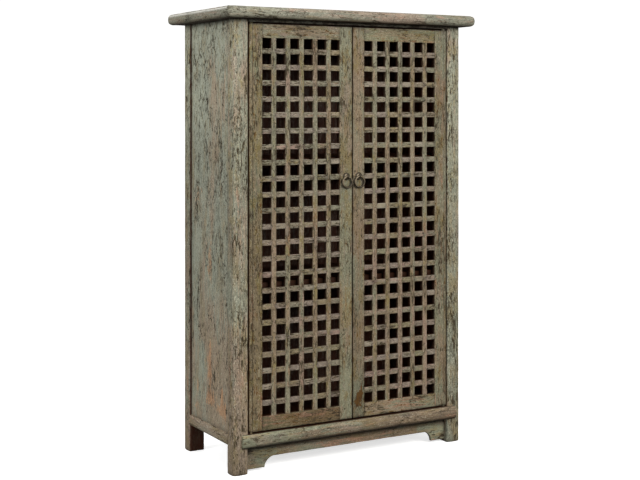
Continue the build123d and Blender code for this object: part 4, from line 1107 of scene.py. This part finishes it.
for s, side in ((-1, "left"), (1, "right")):
    body = side + "_door"
    lx0 = LAT_X[side]
    lx1 = lx0 + LAT_W
    sd = 200 if s < 0 else 300
    # hinge stile: u outwards from the lattice, v towards the back
    inner = lx0 if s < 0 else lx1
    a, b = abs(inner), 463.5
    gx = 448.5
    g0 = a + 2.2          # start of the flat on side 0
    stops = {0: [gx - g0 - 2.6, gx - g0 - 1.5, gx - g0 - 0.6, gx - g0, gx - g0 + 0.6, gx - g0 + 1.5]}

    def groove(x, c=gx - g0):
        return -1.9 * max(0.0, 1 - abs(x - c) / 1.6)

    sec = section([(a, YF, 2.2), (b, YF, 11.2), (b, YF + 24, 11.2), (a, YF + 24, 1.6)], step=5, arc=7, stops=stops, profile={0: groove})
    t = Timber()
    ax = ("-x" if s < 0 else "x", "y", "z")
    # darker along the top and bottom edges and in the groove: dirt and painted shade; the back faces are bare wood,
    # darkened as painted shade
    t.sweep(sec, Z_D0, Z_D1, ax, step=8, ease=(2, 2), seed=sd + 1, tone=door_tone, arris=0.9,
            grime=lambda p: np.maximum(door_grime(p), 0.6 * np.exp(-((np.abs(p[:, 0]) - gx) / 1.3) ** 2) * (p[:, 1] < YF + 3)),
            dark=lambda p: 0.95 * ramp(p[:, 1], YF + 3.5, YF + 7))
    cylinder_peg(t, s * X_PIV, Y_PIV, Z_D1 - 2, 1741.6, 6.4, sd + 2)
    cylinder_peg(t, s * X_PIV, Y_PIV, 154.4, Z_D0 + 2, 6.4, sd + 3)
    t.build("wood_%s_hinge_stile" % side, MAT["olive" if side == "left" else "door"], body, [side + "_door_hinge_stile"], rust=door_rust, sage=door_sage,
            extra={"ochre": door_ochre})
    # meeting stile
    outer = lx1 if s < 0 else lx0
    u0, u1 = sorted((abs(outer), 1.75))
    t = Timber()
    sec = section([(u0, YF, 2.6), (u1, YF, 2.2), (u1, YF + 24, 1.6), (u0, YF + 24, 1.8)], step=5, arc=4)
    # darker along the top and bottom edges and at the meeting line: dirt and painted shade in the gaps; the back faces
    # are bare and shaded
    t.sweep(sec, Z_D0, Z_D1, ax, step=8, ease=(2, 2), seed=sd + 4, tone=door_tone, arris=0.7, dark=lambda p: 0.95 * ramp(p[:, 1], YF + 2.5, YF + 5),
            grime=door_grime)
    t.build("wood_%s_meeting_stile" % side, MAT["door"], body, [side + "_door_meeting_stile"], rust=door_rust, sage=door_sage,
            extra={"ochre": door_ochre})
    # top and bottom rails
    for nm, z0, z1, k in (("top", LAT_Z1, Z_D1, 5), ("bottom", Z_D0, LAT_Z0, 6)):
        t = Timber()
        sec = rect(YF + 0.15, YF + 23.8, z0, z1, r=2.0, step=5.5)
        # darker along the edges and at the ends by the stiles: dirt and painted shade in the joints; the back faces are
        # bare and shaded
        t.sweep(sec, lx0 - 0.8, lx1 + 0.8, ("y", "z", "x"), step=8, ease=(0.6, 0.6), seed=sd + k, tone=door_tone, arris=0.6,
                dark=lambda p: 0.95 * ramp(p[:, 1], YF + 2.0, YF + 4.5),
                grime=lambda p: np.maximum(door_grime(p), 0.5 * np.maximum(np.exp(-(p[:, 0] - lx0).clip(0) / 3.0), np.exp(-(lx1 - p[:, 0]).clip(0) / 3.0))))
        t.build("wood_%s_door_%s_rail" % (side, nm), MAT[{("left", "bottom"): "brown", ("right", "top"): "olive"}.get((side, nm), "door")], body, ["%s_door_%s_rail" % (side, nm)],
                rust=door_rust, sage=door_sage, calm=rail_calm, extra={"ochre": door_ochre})
    # lattice; the faces inside the holes are bare wood, darkened as painted shade
    ly0, ly1 = YF + 0.5, YF + 18.5
    xs = [lx0 + (c + 1) * HOLE_W + c * BAR_W for c in range(COLS - 1)]
    zs = [LAT_Z1 - (r + 1) * HOLE_H - r * BAR_H for r in range(ROWS - 1)]
    t = Timber()
    for c, x in enumerate(xs):
        sec = rect(x + 0.25 * rnd(sd, c), x + BAR_W - 0.25 * rnd(sd, c, 1), ly0, ly1 - 0.4, r=(2.0, 2.0, 1.0, 1.0), step=5, arc=3)
        t.sweep(sec, LAT_Z0 - 1, LAT_Z1 + 1, ("x", "y", "z"), step=7, ease=(0.5, 0.5), seed=sd + 10 + c, tone=lambda p, b=0.3 + 0.4 * rnd(sd, c, 7): b - 0.45 * (p[:, 0] < 0) * ramp(p[:, 2], 1000, 1250) + 0.3 * ramp(-p[:, 2], -750, -500),
                amp=0.8, arris=0.6, capfill=(0.5,), arc=1, dark=lambda p: 0.93 * ramp(p[:, 1], ly0 + 1.8, ly0 + 4.5))
    t.build("wood_%s_lattice_uprights" % side, MAT["upright"], body, [side + "_door_lattice_uprights"],
            rust=lattice_rust, sage=lambda p: door_sage(p) - 0.04 + 0.05 * (p[:, 0] > 0) * ramp(p[:, 2], 1100, 1300) - 0.10 * ramp(-p[:, 2], -1250, -900))
    t = Timber()
    mids = [x + BAR_W / 2 for x in xs]
    for r, z in enumerate(zs):
        dz = 0.5 * (rnd(sd, r, 5) - 0.5)
        sec = rect(ly0 + 0.35, ly1, z - BAR_H + 0.1 + dz, z - 0.1 + dz, r=(2.0, 1.0, 1.0, 2.0), step=5, arc=3)
        # darker next to each upright and at the ends: dirt and painted shade in the corners
        t.sweep(sec, lx0 - 1, lx1 + 1, ("y", "z", "x"), step=6.5, ease=(0.5, 0.5), seed=sd + 30 + r, tone=seg_tone(np.array(mids), sd, r),
                amp=0.8, arris=0.45, capfill=(0.5,), arc=1, dark=lambda p: 0.93 * ramp(p[:, 1], ly0 + 2.1, ly0 + 5.0),
                grime=lambda p: 0.42 * np.max([np.exp(-np.maximum(0, np.abs(p[:, 0] - mm) - BAR_W / 2) / 2.2) for mm in mids]
                                              + [np.exp(-(p[:, 0] - lx0).clip(0) / 2.2), np.exp(-(lx1 - p[:, 0]).clip(0) / 2.2)], axis=0))
    t.build("wood_%s_lattice_crossbars" % side, MAT["crossbar"], body, [side + "_door_lattice_crossbars"],
            rust=lattice_rust, sage=lambda p: door_sage(p) - 0.12 * ramp(-p[:, 2], -1250, -900),
            calm=lambda p: -0.24 * (p[:, 0] < 0) * ramp(p[:, 2], 500, 800) - 0.15 * ramp(p[:, 2], 1000, 1250))


# ---------------------------------------------------------------------------
# pulls
# ---------------------------------------------------------------------------
def surface(t, fn, nu, nv, seed, close_u=True, close_v=True, wear=None, amp=0.0, freq=4.0, flip=False):
    """A closed tube or torus given by fn(a, b)."""
    a = np.linspace(0, 1, nu, endpoint=False) if close_u else np.linspace(0, 1, nu)
    b = np.linspace(0, 1, nv, endpoint=False) if close_v else np.linspace(0, 1, nv)
    A, B = np.meshgrid(a, b, indexing="ij")
    p = fn(A.ravel(), B.ravel())
    e = 1e-3
    n = np.cross(fn(A.ravel() + e, B.ravel()) - p, fn(A.ravel(), B.ravel() + e) - p)
    n = n / np.maximum(np.linalg.norm(n, axis=1)[:, None], 1e-12) * (-1 if flip else 1)
    if amp:
        p = p + n * (amp * fbm(p / freq, seed, 3))[:, None]
    iu = np.arange(nu if close_u else nu - 1)[:, None]
    iv = np.arange(nv if close_v else nv - 1)
    i2, j2 = (iu + 1) % nu, (iv + 1) % nv
    quads = np.stack([iu * nv + iv, i2 * nv + iv, i2 * nv + j2, iu * nv + j2], -1).reshape(-1, 4)
    if flip:
        quads = quads[:, ::-1]
    t.put(p, p + seed * 11.0, 0.0 if wear is None else wear(A.ravel(), B.ravel()), 0.5, 0.0, quads, [])


for s, side in ((-1, "left"), (1, "right")):
    px = PULL_X[side]
    body = side + "_door"
    # plate: raised dome, beaded and lobed rim
    t = Timber()
    NT, rr = 96, [0, 1.8, 3.4, 4.8, 6.3, 7.8, 9.2, 10.1, 10.8, 11.5, 12.3, 13.2, 14.0, 14.7, 15.3, 15.8, 16.0]
    th = np.linspace(0, 2 * math.pi, NT, endpoint=False)
    vs, wr = [], []
    for k, r in enumerate(rr):
        lobe = 1 + 0.04 * np.cos(12 * th) * (r / 16.0) ** 3
        R_ = r * lobe
        y = 1.4 + 2.0 * max(0.0, 1 - (r / 9.5) ** 2) ** 0.7 + 0.9 * math.exp(-((r - 11.2) / 1.0) ** 2)
        bead = 0.7 * np.maximum(0, np.cos(12 * th)) ** 0.7 * math.exp(-((r - 14.2) / 1.3) ** 2)
        y = (y + bead) * (1.0 if r < 15.0 else max(0.35, 1 - (r - 15.0) / 1.5))
        vs.append(np.stack([px + R_ * np.cos(th), YF - 0.1 - y, PULL_Z + R_ * np.sin(th)], 1))
        wr.append(np.full(NT, 0.95 if r < 9.5 else (0.7 if 10.6 < r < 12.0 else (0.45 if 13.4 < r < 15.0 else 0.1))))
    vs.append(np.stack([px + 16.0 * (1 + 0.04 * np.cos(12 * th)) * np.cos(th), np.full(NT, YF + 0.2), PULL_Z + 16.0 * (1 + 0.04 * np.cos(12 * th)) * np.sin(th)], 1))
    wr.append(np.full(NT, 0.2))
    vs.append(np.array([[px, YF + 0.2, PULL_Z]]))
    wr.append(np.zeros(1))
    vs[0] = vs[0][:1]
    wr[0] = wr[0][:1]
    v = np.concatenate(vs)
    v[:, 1] += 0.18 * fbm(v / 5.0, 5 + s, 2)
    j = np.arange(NT)
    j2 = (j + 1) % NT
    rows = len(rr)                              # rings after the centre: rows-1 plus the back rim
    quads = []
    for k in range(rows - 1):
        b0, b1 = 1 + k * NT, 1 + (k + 1) * NT
        quads.append(np.stack([b0 + j, b0 + j2, b1 + j2, b1 + j], -1))
    tris = [np.stack([np.zeros(NT, int), 1 + j2, 1 + j], -1)]
    last = 1 + (rows - 1) * NT
    tris.append(np.stack([np.full(NT, len(v) - 1), last + j, last + j2], -1))
    t.put(v, v + 50 * s, np.concatenate(wr), 0.5, 0.0, np.concatenate(quads), np.concatenate(tris))
    t.build("iron_%s_pull_plate" % side, MAT["iron"], body, [side + "_pull_plate"])
    # staple: eye of wire, and two legs clinched behind the stile
    t = Timber()

    def eye(a, b, px=px):
        A = a * 2 * math.pi
        B = b * 2 * math.pi
        r = 1.6
        R_ = 7.0 + r * np.cos(B)
        return np.stack([px + r * 1.25 * np.sin(B), -254.0 + R_ * np.cos(A), PULL_Z + R_ * np.sin(A)], 1)

    surface(t, eye, 40, 12, 3, amp=0.12, freq=3.0, wear=lambda a, b: 0.45 + 0 * a)
    for k in (-1, 1):
        sec = rect(px - 1.5, px + 1.5, -248.2, YF + 26.2, r=0.5, step=3)
        z0, z1 = sorted((PULL_Z + 0.15 * k, PULL_Z + 3.0 * k))
        t.sweep(sec, z0, z1, ("x", "y", "z"), step=3, ease=(0.4, 0.4), seed=400 + k, amp=0.15, arris=0.2, capfill=(0.5,), arc=1)
        sec = rect(px - 1.5, px + 1.5, YF + 24.05, YF + 26.3, r=0.5, step=2)
        z0, z1 = sorted((PULL_Z + 0.2 * k, PULL_Z + 11.9 * k))
        t.sweep(sec, z0, z1, ("x", "y", "z"), step=2.5, ease=(0.5, 0.5), seed=402 + k, amp=0.15, arris=0.2, capfill=(0.5,), arc=1)
    t.build("iron_%s_pull_staple" % side, MAT["iron"], body, [side + "_pull_staple"])
    # ring: hammered, thicker at the bottom
    t = Timber()

    def hoop(a, b, px=px):
        A = a * 2 * math.pi
        B = b * 2 * math.pi
        down = 0.5 - 0.5 * np.sin(A)            # 0 at the top, 1 at the bottom
        r = 3.6 + 0.75 * np.clip(down * 2.2, 0, 1) ** 1.5
        major = 21.5 - 0.3 * (r - 3.6)
        R_ = major + r * np.cos(B)
        return np.stack([px + R_ * np.cos(A), -254.0 + r * 0.97 * np.sin(B), 1112.65 + R_ * np.sin(A)], 1)

    # wear is highest on the front of the wire, rubbed pale, and raised towards the upper left as a painted highlight
    surface(t, hoop, 96, 20, 7, amp=0.22, freq=5.0, wear=lambda a, b: np.clip(-0.34 - 1.22 * np.sin(2 * math.pi * b) + 0.3 * np.cos(2 * math.pi * a - 2.3), 0, 1.1))
    t.build("iron_%s_pull_ring" % side, MAT["iron"], side + "_ring", [side + "_pull_ring"])

# ---------------------------------------------------------------------------
# floor, light, camera
# ---------------------------------------------------------------------------
scene = bpy.context.scene
scene.view_settings.view_transform = "Standard"
scene.view_settings.look = "None"


def floor():
    me = bpy.data.meshes.new("stage_floor")
    prof = [(-16, 0)] + [(x, 0) for x in np.linspace(-8, 9, 12)]
    r = 5.0
    prof += [(9 + r * math.sin(a), r - r * math.cos(a)) for a in np.linspace(0.1, math.pi / 2, 14)] + [(14, 16)]
    yaw = 0.52576
    fx, fy = math.sin(yaw), math.cos(yaw)          # view direction in plan
    v, f = [], []
    for d, z in prof:
        for w in (-18, 18):
            v.append((fx * d + fy * w, fy * d - fx * w, z))
    for i in range(len(prof) - 1):
        f.append((2 * i, 2 * i + 1, 2 * i + 3, 2 * i + 2))
    me.from_pydata(v, [], f)
    me.update()
    for p in me.polygons:
        p.use_smooth = True
    o = bpy.data.objects.new("stage_floor", me)
    scene.collection.objects.link(o)
    g = Nodes("stage_floor_paint")
    tc = g.t.nodes.new("ShaderNodeTexCoord")
    n = g.noise(g.map(tc.outputs["Object"], (1.3, 1.3, 1.3)), 3, 0.5)
    g.put(g.bsdf.inputs["Base Color"], g.mix(n, (0.86, 0.86, 0.855, 1), (0.89, 0.89, 0.885, 1)))
    g.bsdf.inputs["Roughness"].default_value = 0.75
    g.bsdf.inputs["Specular IOR Level"].default_value = 0.15
    g.bsdf.inputs["Emission Color"].default_value = (1, 1, 0.995, 1)
    g.bsdf.inputs["Emission Strength"].default_value = 0.68
    me.materials.append(g.mat)
    o.visible_diffuse = False
    o.visible_glossy = False


floor()

world = bpy.data.worlds.new("studio")
scene.world = world
world.use_nodes = True
wt = world.node_tree
bg = wt.nodes["Background"]
tc = wt.nodes.new("ShaderNodeTexCoord")
sx = wt.nodes.new("ShaderNodeSeparateXYZ")
mr = wt.nodes.new("ShaderNodeMapRange")
wt.links.new(tc.outputs["Generated"], sx.inputs[0])
wt.links.new(sx.outputs["Z"], mr.inputs["Value"])
for key, val in (("From Min", -0.35), ("From Max", 0.55), ("To Min", 0.1), ("To Max", 0.62)):
    mr.inputs[key].default_value = val
mz = wt.nodes.new("ShaderNodeMapRange")
wt.links.new(sx.outputs["Z"], mz.inputs["Value"])
for key, val in (("From Min", 0.45), ("From Max", 1.0), ("To Min", 1.0), ("To Max", 0.5)):
    mz.inputs[key].default_value = val
mw = wt.nodes.new("ShaderNodeMath")
mw.operation = "MULTIPLY"
wt.links.new(mr.outputs[0], mw.inputs[0])
wt.links.new(mz.outputs[0], mw.inputs[1])
wt.links.new(mw.outputs[0], bg.inputs["Strength"])
bg.inputs["Color"].default_value = (1.0, 0.995, 0.985, 1)


def area(name, loc, target, size, power, colour=(1, 1, 1)):
    li = bpy.data.lights.new(name, "AREA")
    li.shape = "RECTANGLE"
    li.size, li.size_y = size
    li.energy = power
    li.color = colour
    o = bpy.data.objects.new(name, li)
    o.location = loc
    o.rotation_euler = (Vector(target) - Vector(loc)).to_track_quat("-Z", "Y").to_euler()
    scene.collection.objects.link(o)


area("key", (0.7, -5.1, 3.3), (0, 0, 0.9), (2.6, 2.2), 242, (1.0, 0.985, 0.965))
area("fill", (-5.0, -1.2, 3.1), (0, 0, 1.0), (2.4, 2.4), 133, (0.985, 0.99, 1.0))
area("top", (0.0, -0.4, 5.0), (0, 0, 1.0), (3.2, 3.2), 52, (1, 1, 1))
area("backlight", (2.0, 4.5, 3.4), (0, 0, 1.0), (3.0, 3.0), 60, (1, 1, 1))

cam = bpy.data.cameras.new("camera")
cam.sensor_width = 36.0
cam.sensor_fit = "HORIZONTAL"
cam.lens = 71.306
cam.shift_x = -0.02084
cam.shift_y = -0.20373
cam.clip_start = 0.1
cam.clip_end = 60.0
co = bpy.data.objects.new("camera", cam)
co.location = (-2.63074, -4.62436, 1.40381)
co.rotation_euler = (math.pi / 2, 0, -0.52576)
scene.collection.objects.link(co)
scene.camera = co
